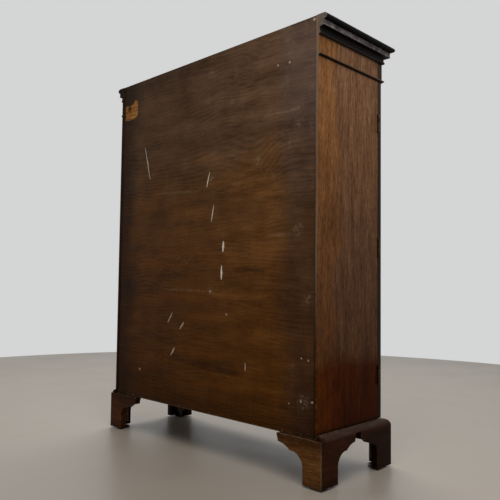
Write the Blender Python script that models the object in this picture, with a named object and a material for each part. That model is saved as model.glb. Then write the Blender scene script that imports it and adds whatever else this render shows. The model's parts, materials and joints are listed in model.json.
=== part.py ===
"""A glazed display cabinet: an oak carcass on bracket feet, with a cornice over a frieze, two glazed doors
on brass butt hinges, a lock with its key, and a slide bolt. Metres, +Z up, front towards -Y, left and right
as seen from the front. The origin lies on the floor, in the middle of the cabinet's box."""
import math

import bmesh
import bpy
from mathutils import Matrix, Vector

# Overall sizes and the gap between pieces that touch
HEIGHT = 1.220  # floor to the top of the cornice
WIDTH = 0.896  # over the outer faces of the sides
DEPTH = 0.301  # rear edges of the sides to the door fronts
FIT = 0.0003

# Carcass boards
SIDE_THICK = 0.018
TOP_THICK = 0.018
BOTTOM_THICK = 0.012
SHELF_THICK = 0.016
SHELF_HOUSING = 0.006  # depth of a shelf's end in the side
SHELF_SETBACK = 0.022  # shelf front behind the front edges of the sides
BACK_THICK = 0.005
BACK_RECESS = 0.003  # back panel inside the rear edges of the sides
BACK_LIP = 0.008  # edge of a side that stands beside the back panel
BACK_LEDGE = 0.004  # lower edge of the back panel above the rear brackets

# Frieze, bead and cornice: heights down from the top, reaches out from the carcass
FRIEZE_HEIGHT = 0.110  # cornice top to the lower edge of the frieze
FRIEZE_PROUD = 0.0045  # frieze front ahead of the door fronts
BEAD_RISE = 0.003  # bead above the lower edge of the frieze
BEAD_HEIGHT = 0.007
BEAD_REACH = 0.0055
ROLL_HEIGHT = 0.0165
ROLL_REACH = 0.0285
FASCIA_HEIGHT = 0.0155
FASCIA_REACH = 0.0175
COVE_HEIGHT = 0.0055
NECK_HEIGHT = 0.007
NECK_REACH = 0.004
TOE_HEIGHT = 0.0075
TOE_REACH = 0.0065

# Plinth boards, cut to bracket feet
PLINTH_TOP = 0.134
PLINTH_THICK = 0.021
PLINTH_ROUND = 0.018  # radius of the top edge
PLINTH_OVER_ARCH = 0.013  # board left above the arch
SIDE_LEG = 0.071  # width of a foot at the floor, on the sides and then on the front and back
FRONT_LEG = 0.061
FOOT_SPRING = 0.052  # height where a foot's edge starts to curve
ARCH_FLAT = 0.020  # level stretch between the two feet of a side
CUSP_ALONG = 0.475  # end of the lower hollow of a foot's edge, as shares of its length and rise
CUSP_UP = 0.46
WING_ALONG = 0.93  # end of the upper hollow, where the edge turns up to the top of the arch
WING_UP = 0.69
CUSP_BULGE = 0.0105  # how far a hollow stands off its chord, below and above the cusp
WING_BULGE = 0.0035

# Rear brackets
BRACKET_PROUD = 0.004  # bracket behind the rear edges of the sides
BRACKET_REACH = 0.151

# Corner blocks and glides
BLOCK_SIZE = 0.024
BLOCK_BOTTOM = 0.020
GLIDE_RADIUS = 0.024
GLIDE_HEIGHT = 0.0046
GLIDE_FLAT = 0.010  # radius of the flat that meets the floor
GLIDE_RIM = 0.0012  # straight edge above the dome
GLIDE_INSET = 0.031  # glide centre from the outer faces of a foot
GLIDE_GAP = 0.0004  # foot above its glide
STEM_RADIUS = 0.0085
STEM_SOCKET = 0.014

# Doors
DOOR_THICK = 0.016
DOOR_GAP = 0.001  # door back to the front edges of the sides
DOOR_TOP_GAP = 0.002
DOOR_BOTTOM_GAP = 0.0025
MEETING_GAP = 0.002
STILE = 0.045
TOP_RAIL = 0.045
BOTTOM_RAIL = 0.065
GLASS_THICK = 0.003
GLASS_SETBACK = 0.009  # glass groove behind the door's front
GROOVE = 0.006
GLASS_EDGE = 0.005  # glass inside its groove
BAR_WIDTH = 0.012
BAR_SETBACK = 0.001  # bar front behind the door's front
BAR_SHOULDER = 0.004  # straight side of a bar, next to the glass

# Butt hinges
HINGE_LENGTH = 0.054
HINGE_FROM_END = 0.122  # hinge centre from the end of the door
LEAF_WIDTH = 0.015
LEAF_THICK = 0.0015
KNUCKLE_RADIUS = 0.0032
PIN_RADIUS = 0.0015
PIN_CLEAR = 0.00025

# Lock, key and escutcheon on the right door
LOCK_WIDTH = 0.040
LOCK_HEIGHT = 0.052
LOCK_THICK = 0.012
LOCK_INSET = 0.002  # lock case from the door's meeting edge
LOCK_PLATE = 0.0012  # case wall between the door and the bolt
BOLT_LENGTH = 0.028
BOLT_HEIGHT = 0.010
BOLT_THICK = 0.005
BOLT_TIP_INSET = 0.001
KEY_FROM_EDGE = 0.022  # key axis from the door's meeting edge
KEY_TO_BOLT = 0.016  # key axis up to the middle of the bolt
KEY_BELOW_MIDDLE = 0.010  # key axis below the middle of the lock case
KEY_POCKET = 0.0095
KEY_POCKET_DEPTH = 0.008
KEY_RADIUS = 0.0025
KEY_OUT = 0.028  # key bow ahead of the door
BOW_LENGTH = 0.020
BOW_WIDTH = 0.024
BOW_THICK = 0.003
BOW_RIM = 0.0035
BIT_REACH = 0.0075
BIT_LENGTH = 0.005
BIT_THICK = 0.0024
KEYHOLE_RADIUS = 0.0032
KEYHOLE_SLOT = 0.0017  # half width of the slot for the bit
KEYHOLE_DROP = 0.0085
SHIELD_WIDTH = 0.020
SHIELD_HEIGHT = 0.036
SHIELD_THICK = 0.0015
SHIELD_DROP = 0.002  # middle of the escutcheon below the key axis

# Slide bolt on the back of the left door
GUIDE_WIDTH = 0.016
GUIDE_DEPTH = 0.008
GUIDE_LENGTH = 0.065
GUIDE_FROM_TOP = 0.010
GUIDE_WALL = 0.0018
SLIDE_WIDTH = 0.0064
SLIDE_THICK = 0.0040
SLIDE_TOP_INSET = 0.001  # top of the drawn bolt below the door's top
SLIDE_TAIL = 0.004  # bolt below its guide
STUD_RADIUS = 0.0013
STUD_OUT = 0.005

# How finely round forms are divided
ARC_STEPS = 6
ROUND_STEPS = 20
SMOOTH_ANGLE = math.radians(40)
OVER = 0.005  # how far a cutting shape passes the faces that it cuts

# Places worked out from the sizes
SIDE_X = WIDTH / 2
OVERALL_DEPTH = BRACKET_PROUD + DEPTH + FRIEZE_PROUD + ROLL_REACH
Y_REAR = OVERALL_DEPTH / 2  # rear faces of the brackets
Y_BACK = Y_REAR - BRACKET_PROUD  # rear edges of the sides
Y_DOOR = Y_BACK - DEPTH  # door fronts
Y_DOOR_BACK = Y_DOOR + DOOR_THICK
Y_CASE = Y_DOOR_BACK + DOOR_GAP  # front edges of the sides
Y_FRIEZE = Y_DOOR - FRIEZE_PROUD
Y_PANEL_OUT = Y_BACK - BACK_RECESS
Y_PANEL_IN = Y_PANEL_OUT - BACK_THICK
Y_SHELF = Y_CASE + SHELF_SETBACK
FRIEZE_BOTTOM = HEIGHT - FRIEZE_HEIGHT
BOARD_UNDER = PLINTH_TOP - BOTTOM_THICK  # underside of the bottom board
BRACKET_TOP = BOARD_UNDER - FIT
FOOT_BOTTOM = GLIDE_HEIGHT + GLIDE_GAP
ARCH_TOP = PLINTH_TOP - PLINTH_OVER_ARCH
FOOT_SPREAD = (DEPTH + PLINTH_THICK + BRACKET_PROUD - ARCH_FLAT) / 2 - SIDE_LEG  # leg to the arch's flat
PLINTH_X = SIDE_X + PLINTH_THICK
Y_PLINTH = Y_DOOR - PLINTH_THICK
DOOR_LOW = PLINTH_TOP + DOOR_BOTTOM_GAP
DOOR_HIGH = FRIEZE_BOTTOM - DOOR_TOP_GAP
DOOR_MIDDLE = (DOOR_LOW + DOOR_HIGH) / 2
OPENING_LOW = DOOR_LOW + BOTTOM_RAIL
OPENING_HIGH = DOOR_HIGH - TOP_RAIL
SHELF_LEVELS = [OPENING_LOW + share * (OPENING_HIGH - OPENING_LOW) / 3 for share in (1, 2)]
Y_GROOVE = Y_DOOR + GLASS_SETBACK
Y_GROOVE_BACK = Y_GROOVE + GLASS_THICK + 2 * FIT
HINGE_OFFSET = KNUCKLE_RADIUS + FIT  # hinge axis outside the side
HINGE_X = SIDE_X + HINGE_OFFSET
Y_HINGE = Y_DOOR_BACK + DOOR_GAP / 2
HINGE_LEVELS = {"top": DOOR_HIGH - HINGE_FROM_END, "middle": DOOR_MIDDLE, "bottom": DOOR_LOW + HINGE_FROM_END}
MEET_X = MEETING_GAP / 2
KEY_X = MEET_X + KEY_FROM_EDGE
KEY_Z = DOOR_MIDDLE - KEY_BELOW_MIDDLE
Y_SLIDE = Y_DOOR_BACK + FIT + GUIDE_WALL + FIT


def clear_scene():
    """Removes every object that the file starts with."""
    for old in list(bpy.data.objects):
        bpy.data.objects.remove(old)


def finish(name, colour, roughness, metallic=0.0):
    """A plain material with the piece's colour and sheen."""
    material = bpy.data.materials.new(name)
    material.use_nodes = True
    shader = material.node_tree.nodes["Principled BSDF"]
    shader.inputs["Base Color"].default_value = (*colour, 1.0)
    shader.inputs["Roughness"].default_value = roughness
    shader.inputs["Metallic"].default_value = metallic
    return material


def add_object(name, form):
    """Turns a bmesh, in world coordinates, into an object with its faces pointing out."""
    bmesh.ops.recalc_face_normals(form, faces=form.faces)
    mesh = bpy.data.meshes.new(name)
    form.to_mesh(mesh)
    form.free()
    piece = bpy.data.objects.new(name, mesh)
    bpy.context.scene.collection.objects.link(piece)
    return piece


def seat(piece, material, origin=None, parent=None, smooth=False):
    """Gives a piece its material, its origin and its parent, and leaves it where it was modelled."""
    corners = [Vector(corner) for corner in piece.bound_box]
    middle = (corners[0] + corners[6]) / 2
    origin = middle if origin is None else Vector(origin)
    piece.data.transform(Matrix.Translation(-origin))
    piece.data.materials.clear()
    piece.data.materials.append(material)
    if smooth:
        piece.data.shade_smooth()
        piece.data.set_sharp_from_angle(angle=SMOOTH_ANGLE)
    piece.parent = parent
    piece.location = origin - (parent.location if parent else Vector())
    return piece


def axis_point(along, first, second, place):
    """A point from its two coordinates across an axis, in X, Y, Z order, and its place along it."""
    across = {"X": (place, first, second), "Y": (first, place, second), "Z": (first, second, place)}
    return across[along]


def prism(name, outline, along, low, high):
    """A flat outline, given across an axis, extruded along that axis."""
    form = bmesh.new()
    corners = [form.verts.new(axis_point(along, first, second, low)) for first, second in outline]
    face = form.faces.new(corners)
    grown = bmesh.ops.extrude_face_region(form, geom=[face])["geom"]
    moved = [part for part in grown if isinstance(part, bmesh.types.BMVert)]
    bmesh.ops.translate(form, verts=moved, vec=axis_point(along, 0, 0, high - low))
    return add_object(name, form)


def block(name, low, high):
    """A box between two opposite corners, in any order."""
    outline = [(low[0], low[1]), (high[0], low[1]), (high[0], high[1]), (low[0], high[1])]
    return prism(name, outline, "Z", low[2], high[2])


def rod(name, along, first, second, radius, low, high):
    """A round bar along an axis, at two coordinates across it."""
    return prism(name, oval(first, second, radius, radius), along, low, high)


def turned(name, profile, x, y):
    """A profile of radii and heights, turned about a vertical axis."""
    form = bmesh.new()
    points = [form.verts.new((x + radius, y, z)) for radius, z in profile]
    edges = [form.edges.new(pair) for pair in zip(points, points[1:])]
    bmesh.ops.spin(form, geom=points + edges, cent=(x, y, 0), axis=(0, 0, 1),
                   angle=2 * math.pi, steps=ROUND_STEPS)
    bmesh.ops.remove_doubles(form, verts=form.verts, dist=FIT / 10)
    return add_object(name, form)


def carve(piece, tool, operation="DIFFERENCE"):
    """Cuts a tool's shape out of a piece, or joins it on, where both lie, and removes the tool."""
    modifier = piece.modifiers.new(tool.name, "BOOLEAN")
    modifier.operation = operation
    modifier.solver = "EXACT"
    modifier.object = tool
    bpy.context.view_layer.update()
    graph = bpy.context.evaluated_depsgraph_get()
    result = bpy.data.meshes.new_from_object(piece.evaluated_get(graph))
    piece.modifiers.clear()
    piece.data = result
    bpy.data.objects.remove(tool)
    return piece


def oval(first, second, half_first, half_second):
    """The points of an ellipse."""
    turns = [2 * math.pi * step / ROUND_STEPS for step in range(ROUND_STEPS)]
    return [(first + half_first * math.cos(turn), second + half_second * math.sin(turn)) for turn in turns]


def arc(start, end, bulge):
    """Points after start, up to end, on a circle that stands off the chord, to its left where positive."""
    start, end = Vector(start), Vector(end)
    chord = end - start
    left = Vector((-chord.y, chord.x)).normalized()
    half = chord.length / 2
    radius = (half ** 2 + bulge ** 2) / (2 * bulge)
    centre = (start + end) / 2 + left * (bulge - radius)
    sweep = 2 * math.atan2(bulge, half) * 2
    first = start - centre
    points = []
    for step in range(1, ARC_STEPS + 1):
        turn = Matrix.Rotation(-sweep * step / ARC_STEPS, 2)
        points.append(tuple(centre + turn @ first))
    return points


def half_round(base, reach, start, height):
    """Points of a half-round moulding: out from base to reach and back, from one height to another."""
    turns = [math.pi * step / (2 * ARC_STEPS) for step in range(2 * ARC_STEPS + 1)]
    out = reach - base
    return [(base + out * math.sin(turn), start + height * (1 - math.cos(turn)) / 2) for turn in turns]


def moulding(name, profile, start, end, outward, mitred):
    """A profile of reaches and heights run from one corner of the carcass to another. A mitred end is cut at
    45 degrees for the next run, and each end stands back by the fit."""
    start, end, outward = Vector((*start, 0)), Vector((*end, 0)), Vector((*outward, 0))
    along = (end - start).normalized()
    form = bmesh.new()
    rings = []
    for corner, sense, cut in ((start, -1, mitred[0]), (end, 1, mitred[1])):
        ring = []
        for reach, height in profile:
            shift = along * sense * ((reach if cut else 0) - FIT)
            ring.append(form.verts.new(corner + outward * reach + shift + Vector((0, 0, height))))
        rings.append(ring)
        form.faces.new(ring)
    count = len(profile)
    for place in range(count):
        after = (place + 1) % count
        form.faces.new((rings[0][place], rings[0][after], rings[1][after], rings[1][place]))
    return add_object(name, form)


def runs_round(name, profile, front, rear, material):
    """A moulding on the front and both sides of the carcass, mitred at the front. Yields its pieces."""
    left, right = (-SIDE_X, front), (SIDE_X, front)
    yield seat(moulding(f"{name}_front", profile, left, right, (0, -1), (True, True)), material)
    yield seat(moulding(f"{name}_left", profile, (-SIDE_X, rear), left, (-1, 0), (False, True)), material)
    yield seat(moulding(f"{name}_right", profile, (SIDE_X, rear), right, (1, 0), (False, True)), material)


def side_board(name, hand, material):
    """An upright side: rebated for the back, housed for the shelves and cut for the hinge leaves."""
    outer, inner = hand * SIDE_X, hand * (SIDE_X - SIDE_THICK)
    lip = hand * (SIDE_X - BACK_LIP)
    rebate = [(inner, Y_PANEL_IN), (lip, Y_PANEL_IN), (lip, Y_BACK)]
    outline = [(outer, Y_CASE), (inner, Y_CASE)] + rebate + [(outer, Y_BACK)]
    piece = prism(name, outline, "Z", PLINTH_TOP + FIT, HEIGHT)
    for level in SHELF_LEVELS:
        half = SHELF_THICK / 2 + FIT
        low = (inner + hand * SHELF_HOUSING, Y_SHELF - FIT, level - half)
        high = (inner - hand * OVER, Y_BACK + OVER, level + half)
        carve(piece, block("housing", low, high))
    for level in HINGE_LEVELS.values():
        half = HINGE_LENGTH / 2 + FIT
        low = (outer + hand * OVER, Y_CASE - OVER, level - half)
        high = (outer - hand * (LEAF_WIDTH + FIT), Y_CASE + LEAF_THICK + FIT, level + half)
        carve(piece, block("gain", low, high))
    return seat(piece, material)


def carcass_boards(oak, inner, ply):
    """Top, bottom, shelves, frieze rail and back."""
    inside = SIDE_X - SIDE_THICK
    rear = Y_PANEL_IN - FIT
    seat(block("top_board", (FIT - inside, Y_CASE, HEIGHT - TOP_THICK), (inside - FIT, rear, HEIGHT)), oak)
    seat(block("bottom_board", (-SIDE_X, Y_DOOR, BOARD_UNDER), (SIDE_X, rear, PLINTH_TOP)), inner)
    reach = inside + SHELF_HOUSING - FIT
    for name, level in zip(("shelf_lower", "shelf_upper"), SHELF_LEVELS):
        half = SHELF_THICK / 2
        seat(block(name, (-reach, Y_SHELF, level - half), (reach, rear, level + half)), inner)
    seat(block("frieze_rail", (-SIDE_X, Y_FRIEZE, FRIEZE_BOTTOM), (SIDE_X, Y_CASE - FIT, HEIGHT)), oak)
    half_back = SIDE_X - BACK_LIP - FIT
    low = BRACKET_TOP + BACK_LEDGE
    seat(block("back_panel", (-half_back, Y_PANEL_IN, low), (half_back, Y_PANEL_OUT, HEIGHT)), ply)


def cornice_profile():
    """Roll, fascia, cove, neck and toe bead, from the top down."""
    fascia_low = HEIGHT - ROLL_HEIGHT - FASCIA_HEIGHT
    cove_low = fascia_low - COVE_HEIGHT
    hollow = FASCIA_REACH - NECK_REACH
    turns = [math.pi / 2 * step / ARC_STEPS for step in range(ARC_STEPS + 1)]
    cove = []
    for turn in turns:
        cove.append((FASCIA_REACH - hollow * math.sin(turn), cove_low + COVE_HEIGHT * math.cos(turn)))
    toe_top = cove_low - NECK_HEIGHT
    roll = half_round(FASCIA_REACH, ROLL_REACH, HEIGHT, -ROLL_HEIGHT)
    toe = half_round(NECK_REACH, TOE_REACH, toe_top, -TOE_HEIGHT)
    return [(FIT, HEIGHT)] + roll + cove + toe + [(FIT, toe_top - TOE_HEIGHT)]


def plinth_profile():
    """A board whose outer top edge is rounded."""
    turns = [math.pi / 2 * step / (2 * ARC_STEPS) for step in range(2 * ARC_STEPS + 1)]
    flat = PLINTH_THICK - PLINTH_ROUND
    level = PLINTH_TOP - PLINTH_ROUND
    edge = [(flat + PLINTH_ROUND * math.cos(turn), level + PLINTH_ROUND * math.sin(turn)) for turn in turns]
    return [(FIT, FOOT_BOTTOM), (PLINTH_THICK, FOOT_BOTTOM)] + edge + [(FIT, PLINTH_TOP)]


def foot_edge(leg, reach, top):
    """A foot's inner edge as places from its corner and heights: two hollows, then up to the given top."""
    spread = reach - leg
    rise = top - FOOT_SPRING
    spring = (leg, FOOT_SPRING)
    cusp = (leg + CUSP_ALONG * spread, FOOT_SPRING + CUSP_UP * rise)
    wing = (leg + WING_ALONG * spread, FOOT_SPRING + WING_UP * rise)
    return [spring] + arc(spring, cusp, CUSP_BULGE) + arc(cusp, wing, WING_BULGE) + [(reach, top)]


def arch_outline(low, high, leg):
    """The space between the two feet of a plinth board that runs from low to high."""
    foot = [(leg, -OVER)] + foot_edge(leg, leg + FOOT_SPREAD, ARCH_TOP)
    return [(low + place, z) for place, z in foot] + [(high - place, z) for place, z in reversed(foot)]


def plinth(oak):
    """Front and side boards with their arches. The rear ends of the sides are mitred for the brackets."""
    front, left, right = runs_round("plinth", plinth_profile(), Y_DOOR, Y_REAR + FIT, oak)
    front_arch = arch_outline(-PLINTH_X, PLINTH_X, FRONT_LEG)
    carve(front, prism("arch", front_arch, "Y", Y_PLINTH - OVER, Y_DOOR + OVER))
    side_arch = arch_outline(Y_PLINTH, Y_REAR, SIDE_LEG)
    for piece, hand in ((left, -1), (right, 1)):
        inner, outer = hand * (SIDE_X - OVER), hand * (PLINTH_X + OVER)
        carve(piece, prism("arch", side_arch, "X", inner, outer))
        mitre_in = hand * (PLINTH_X + 2 * FIT)
        over_in = mitre_in - hand * (PLINTH_THICK + OVER)
        mitre = [(mitre_in + hand * OVER, Y_REAR + OVER), (over_in, Y_REAR - PLINTH_THICK - OVER),
                 (over_in, Y_REAR + OVER)]
        carve(piece, prism("mitre", mitre, "Z", -OVER, BRACKET_TOP + FIT))
        beyond = (outer, Y_REAR + OVER, PLINTH_TOP + OVER)
        carve(piece, block("end", (inner, Y_BACK, BRACKET_TOP), beyond))


def rear_bracket(name, hand, oak):
    """A shaped board at the back of a rear foot, mitred to the plinth."""
    edge = [(0, FOOT_BOTTOM), (FRONT_LEG, FOOT_BOTTOM)]
    edge += foot_edge(FRONT_LEG, BRACKET_REACH, BRACKET_TOP)
    edge.append((0, BRACKET_TOP))
    form = bmesh.new()
    rings = []
    for y, mitre in ((Y_REAR, 0), (Y_REAR - PLINTH_THICK, PLINTH_THICK)):
        rings.append([form.verts.new((hand * (PLINTH_X - max(place, mitre)), y, z)) for place, z in edge])
        form.faces.new(rings[-1])
    for place in range(len(edge)):
        after = (place + 1) % len(edge)
        form.faces.new((rings[0][place], rings[0][after], rings[1][after], rings[1][place]))
    seat(add_object(name, form), oak)


def foot_inside(name, hand, end, pine, steel):
    """The corner block inside a foot and the glide under it. End is -1 at the front and 1 at the rear."""
    face = Y_DOOR if end < 0 else Y_REAR - PLINTH_THICK
    low = (hand * (SIDE_X - BLOCK_SIZE), face - end * BLOCK_SIZE, BLOCK_BOTTOM)
    piece = block(f"corner_block_{name}", low, (hand * (SIDE_X - FIT), face - end * FIT, BRACKET_TOP))
    outer = Y_PLINTH if end < 0 else Y_REAR
    x, y = hand * (PLINTH_X - GLIDE_INSET), outer - end * GLIDE_INSET
    stem_top = BLOCK_BOTTOM + STEM_SOCKET
    carve(piece, rod("socket", "Z", x, y, STEM_RADIUS + FIT, BLOCK_BOTTOM - OVER, stem_top + FIT))
    seat(piece, pine)
    stem = [(STEM_RADIUS, GLIDE_HEIGHT), (STEM_RADIUS, stem_top), (0, stem_top)]
    profile = [(0, 0)] + glide_dome() + [(GLIDE_RADIUS, GLIDE_HEIGHT)] + stem
    seat(turned(f"glide_{name}", profile, x, y), steel, smooth=True)


def glide_dome():
    """Radii and heights of a glide's underside, from its flat up to its rim."""
    spread = GLIDE_RADIUS - GLIDE_FLAT
    rise = GLIDE_HEIGHT - GLIDE_RIM
    shares = [step / ARC_STEPS for step in range(ARC_STEPS + 1)]
    return [(GLIDE_FLAT + spread * share, rise * share ** 2) for share in shares]


def hinge_leaf(name, sense):
    """A butt hinge's leaf with its knuckle for the full length, its axis at the origin and its plate towards
    +X. Sense is 1 for the leaf on the case and -1 for the leaf on the door."""
    near, far = DOOR_GAP / 2, DOOR_GAP / 2 + LEAF_THICK
    end = HINGE_OFFSET + LEAF_WIDTH
    start, stop = math.asin(far / KNUCKLE_RADIUS), 2 * math.pi + math.asin(near / KNUCKLE_RADIUS)
    turns = [start + (stop - start) * step / ROUND_STEPS for step in range(ROUND_STEPS + 1)]
    outline = [(end, near), (end, far)]
    outline += [(KNUCKLE_RADIUS * math.cos(turn), KNUCKLE_RADIUS * math.sin(turn)) for turn in turns]
    outline = [(x, sense * y) for x, y in outline]
    return prism(name, outline, "Z", -HINGE_LENGTH / 2, HINGE_LENGTH / 2)


def knuckle_cut(piece, low, high):
    """Takes the knuckle off a leaf between two heights."""
    reach = KNUCKLE_RADIUS + OVER
    carve(piece, block("knuckle", (-reach, -reach, low), (HINGE_OFFSET, reach, high)))


def hinges(doors, brass):
    """Three butt hinges for each door. The pin is fast in the case leaf, and the door leaf turns on it."""
    half_knuckle = HINGE_LENGTH / 6
    pin_end = 2 * half_knuckle
    case = hinge_leaf("case_leaf", 1)
    knuckle_cut(case, -half_knuckle - FIT, half_knuckle + FIT)
    carve(case, rod("pin", "Z", 0, 0, PIN_RADIUS, -pin_end, pin_end), "UNION")
    door = hinge_leaf("door_leaf", -1)
    knuckle_cut(door, half_knuckle, HINGE_LENGTH)
    knuckle_cut(door, -HINGE_LENGTH, -half_knuckle)
    carve(door, rod("bore", "Z", 0, 0, PIN_RADIUS + PIN_CLEAR, -HINGE_LENGTH, HINGE_LENGTH))
    for side, parent in doors.items():
        hand = -1 if side == "left" else 1
        for place, level in HINGE_LEVELS.items():
            for leaf, kind, holder in ((case, "case", None), (door, "door", parent)):
                copy = bpy.data.objects.new(f"{side}_hinge_{place}_{kind}_leaf", leaf.data)
                bpy.context.scene.collection.objects.link(copy)
                copy.rotation_euler.y = 0 if hand < 0 else math.pi
                copy.parent = holder
                held_at = holder.location if holder else Vector()
                copy.location = Vector((hand * HINGE_X, Y_HINGE, level)) - held_at
    for leaf in (case, door):
        leaf.data.materials.append(brass)
        leaf.data.shade_smooth()
        leaf.data.set_sharp_from_angle(angle=SMOOTH_ANGLE)
        bpy.data.objects.remove(leaf)


def door_axis(name, hand):
    """The empty on a door's hinge axis, which carries the door."""
    empty = bpy.data.objects.new(name, None)
    empty.location = (hand * HINGE_X, Y_HINGE, DOOR_MIDDLE)
    bpy.context.scene.collection.objects.link(empty)
    return empty


def grooved(edge, other, sense):
    """A stile's or rail's cross-section, from its outer edge to the other one, which holds the glass."""
    floor = other - sense * GROOVE
    return [(edge, Y_DOOR), (other, Y_DOOR), (other, Y_GROOVE), (floor, Y_GROOVE), (floor, Y_GROOVE_BACK),
            (other, Y_GROOVE_BACK), (other, Y_DOOR_BACK), (edge, Y_DOOR_BACK)]


def door_frame(side, hand, axis, oak, glass):
    """Stiles, rails, glazing bars and glass of one door."""
    outer, meet = hand * SIDE_X, hand * MEET_X
    inner_outer, inner_meet = outer - hand * STILE, meet + hand * STILE
    hinge_stile = prism(f"{side}_hinge_stile", grooved(outer, inner_outer, -hand), "Z", DOOR_LOW, DOOR_HIGH)
    for level in HINGE_LEVELS.values():
        half = HINGE_LENGTH / 2 + FIT
        low = (outer + hand * OVER, Y_DOOR_BACK + OVER, level - half)
        high = (outer - hand * (LEAF_WIDTH + FIT), Y_DOOR_BACK - LEAF_THICK - FIT, level + half)
        carve(hinge_stile, block("gain", low, high))
    seat(hinge_stile, oak, parent=axis)
    meeting_stile = prism(f"{side}_meeting_stile", grooved(meet, inner_meet, hand), "Z", DOOR_LOW, DOOR_HIGH)
    if side == "right":
        keyhole = prism("keyhole", keyhole_outline(), "Y", Y_DOOR - OVER, Y_DOOR_BACK + OVER)
        carve(meeting_stile, keyhole)
    seat(meeting_stile, oak, parent=axis)
    ends = inner_outer - hand * FIT, inner_meet + hand * FIT
    rails = {"top": (DOOR_HIGH, OPENING_HIGH, -1), "bottom": (DOOR_LOW, OPENING_LOW, 1)}
    for place, (edge, other, sense) in rails.items():
        section = [(y, z) for z, y in grooved(edge, other, sense)]
        seat(prism(f"{side}_{place}_rail", section, "X", *ends), oak, parent=axis)
    low = (inner_outer + hand * GLASS_EDGE, Y_GROOVE + FIT, OPENING_LOW - GLASS_EDGE)
    high = (inner_meet - hand * GLASS_EDGE, Y_GROOVE_BACK - FIT, OPENING_HIGH + GLASS_EDGE)
    seat(block(f"{side}_glass", low, high), glass, parent=axis)
    for name, level in zip(("lower", "upper"), SHELF_LEVELS):
        seat(prism(f"{side}_bar_{name}", bar_outline(level), "X", *ends), oak, parent=axis, smooth=True)


def bar_outline(level):
    """A glazing bar's cross-section: flat on the glass, round towards the front."""
    flat = Y_GROOVE
    shoulder = flat - BAR_SHOULDER
    front = Y_DOOR + BAR_SETBACK
    crown = half_round(shoulder, front, level - BAR_WIDTH / 2, BAR_WIDTH)
    return [(flat, level + BAR_WIDTH / 2), (flat, level - BAR_WIDTH / 2)] + crown


def keyhole_outline():
    """A round hole for the key's shank, with a slot below it for the bit."""
    open_half = math.asin(KEYHOLE_SLOT / KEYHOLE_RADIUS)
    start, stop = open_half - math.pi / 2, 3 * math.pi / 2 - open_half
    turns = [start + (stop - start) * step / ROUND_STEPS for step in range(ROUND_STEPS + 1)]
    radius = KEYHOLE_RADIUS
    ring = [(KEY_X + radius * math.cos(turn), KEY_Z + radius * math.sin(turn)) for turn in turns]
    foot = KEY_Z - KEYHOLE_DROP
    return ring + [(KEY_X - KEYHOLE_SLOT, foot), (KEY_X + KEYHOLE_SLOT, foot)]


def lock(axis, steel, brass):
    """Lock case, bolt and escutcheon on the right door, and the key that throws the bolt."""
    face = MEET_X + LOCK_INSET
    near = Y_DOOR_BACK + FIT
    low = (face, near, DOOR_MIDDLE - LOCK_HEIGHT / 2)
    case = block("lock_case", low, (face + LOCK_WIDTH, near + LOCK_THICK, DOOR_MIDDLE + LOCK_HEIGHT / 2))
    carve(case, rod("pocket", "Y", KEY_X, KEY_Z, KEY_POCKET, near - OVER, near + KEY_POCKET_DEPTH))
    bolt_z = KEY_Z + KEY_TO_BOLT
    bolt_y = near + LOCK_PLATE + FIT
    tip, tail = face + BOLT_TIP_INSET, face + BOLT_TIP_INSET + BOLT_LENGTH
    half = BOLT_HEIGHT / 2
    channel = block("channel", (face - OVER, bolt_y - FIT, bolt_z - half - FIT),
                    (tail + FIT, bolt_y + BOLT_THICK + FIT, bolt_z + half + FIT))
    seat(carve(case, channel), steel, parent=axis)
    bolt = block("lock_bolt", (tip, bolt_y, bolt_z - half), (tail, bolt_y + BOLT_THICK, bolt_z + half))
    seat(bolt, brass, parent=axis)
    shield = oval(KEY_X, KEY_Z - SHIELD_DROP, SHIELD_WIDTH / 2, SHIELD_HEIGHT / 2)
    shield_back = Y_DOOR - FIT
    shield_front = shield_back - SHIELD_THICK
    plate = prism("escutcheon", shield, "Y", shield_front, shield_back)
    carve(plate, prism("keyhole", keyhole_outline(), "Y", shield_front - OVER, Y_DOOR + OVER))
    seat(plate, brass, parent=axis, smooth=True)
    lock_key(near, axis, brass)


def lock_key(near, axis, brass):
    """The key in its lock: an oval bow, a round shank and a bit that points down."""
    bow_out = Y_DOOR - KEY_OUT
    bow_y = bow_out + BOW_LENGTH / 2
    half_length, half_width = BOW_LENGTH / 2, BOW_WIDTH / 2
    low, high = KEY_X - BOW_THICK / 2, KEY_X + BOW_THICK / 2
    key = prism("key", oval(bow_y, KEY_Z, half_length, half_width), "X", low, high)
    eye = oval(bow_y, KEY_Z, half_length - BOW_RIM, half_width - BOW_RIM)
    carve(key, prism("eye", eye, "X", low - OVER, high + OVER))
    shank_end = near + KEY_POCKET_DEPTH - FIT
    shank_start = bow_out + BOW_LENGTH - BOW_RIM / 2
    carve(key, rod("shank", "Y", KEY_X, KEY_Z, KEY_RADIUS, shank_start, shank_end), "UNION")
    bit_end = shank_end - FIT
    bit = block("bit", (KEY_X - BIT_THICK / 2, bit_end - BIT_LENGTH, KEY_Z - BIT_REACH),
                (KEY_X + BIT_THICK / 2, bit_end, KEY_Z))
    carve(key, bit, "UNION")
    seat(key, brass, origin=(KEY_X, Y_DOOR, KEY_Z), parent=axis, smooth=True)


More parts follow.
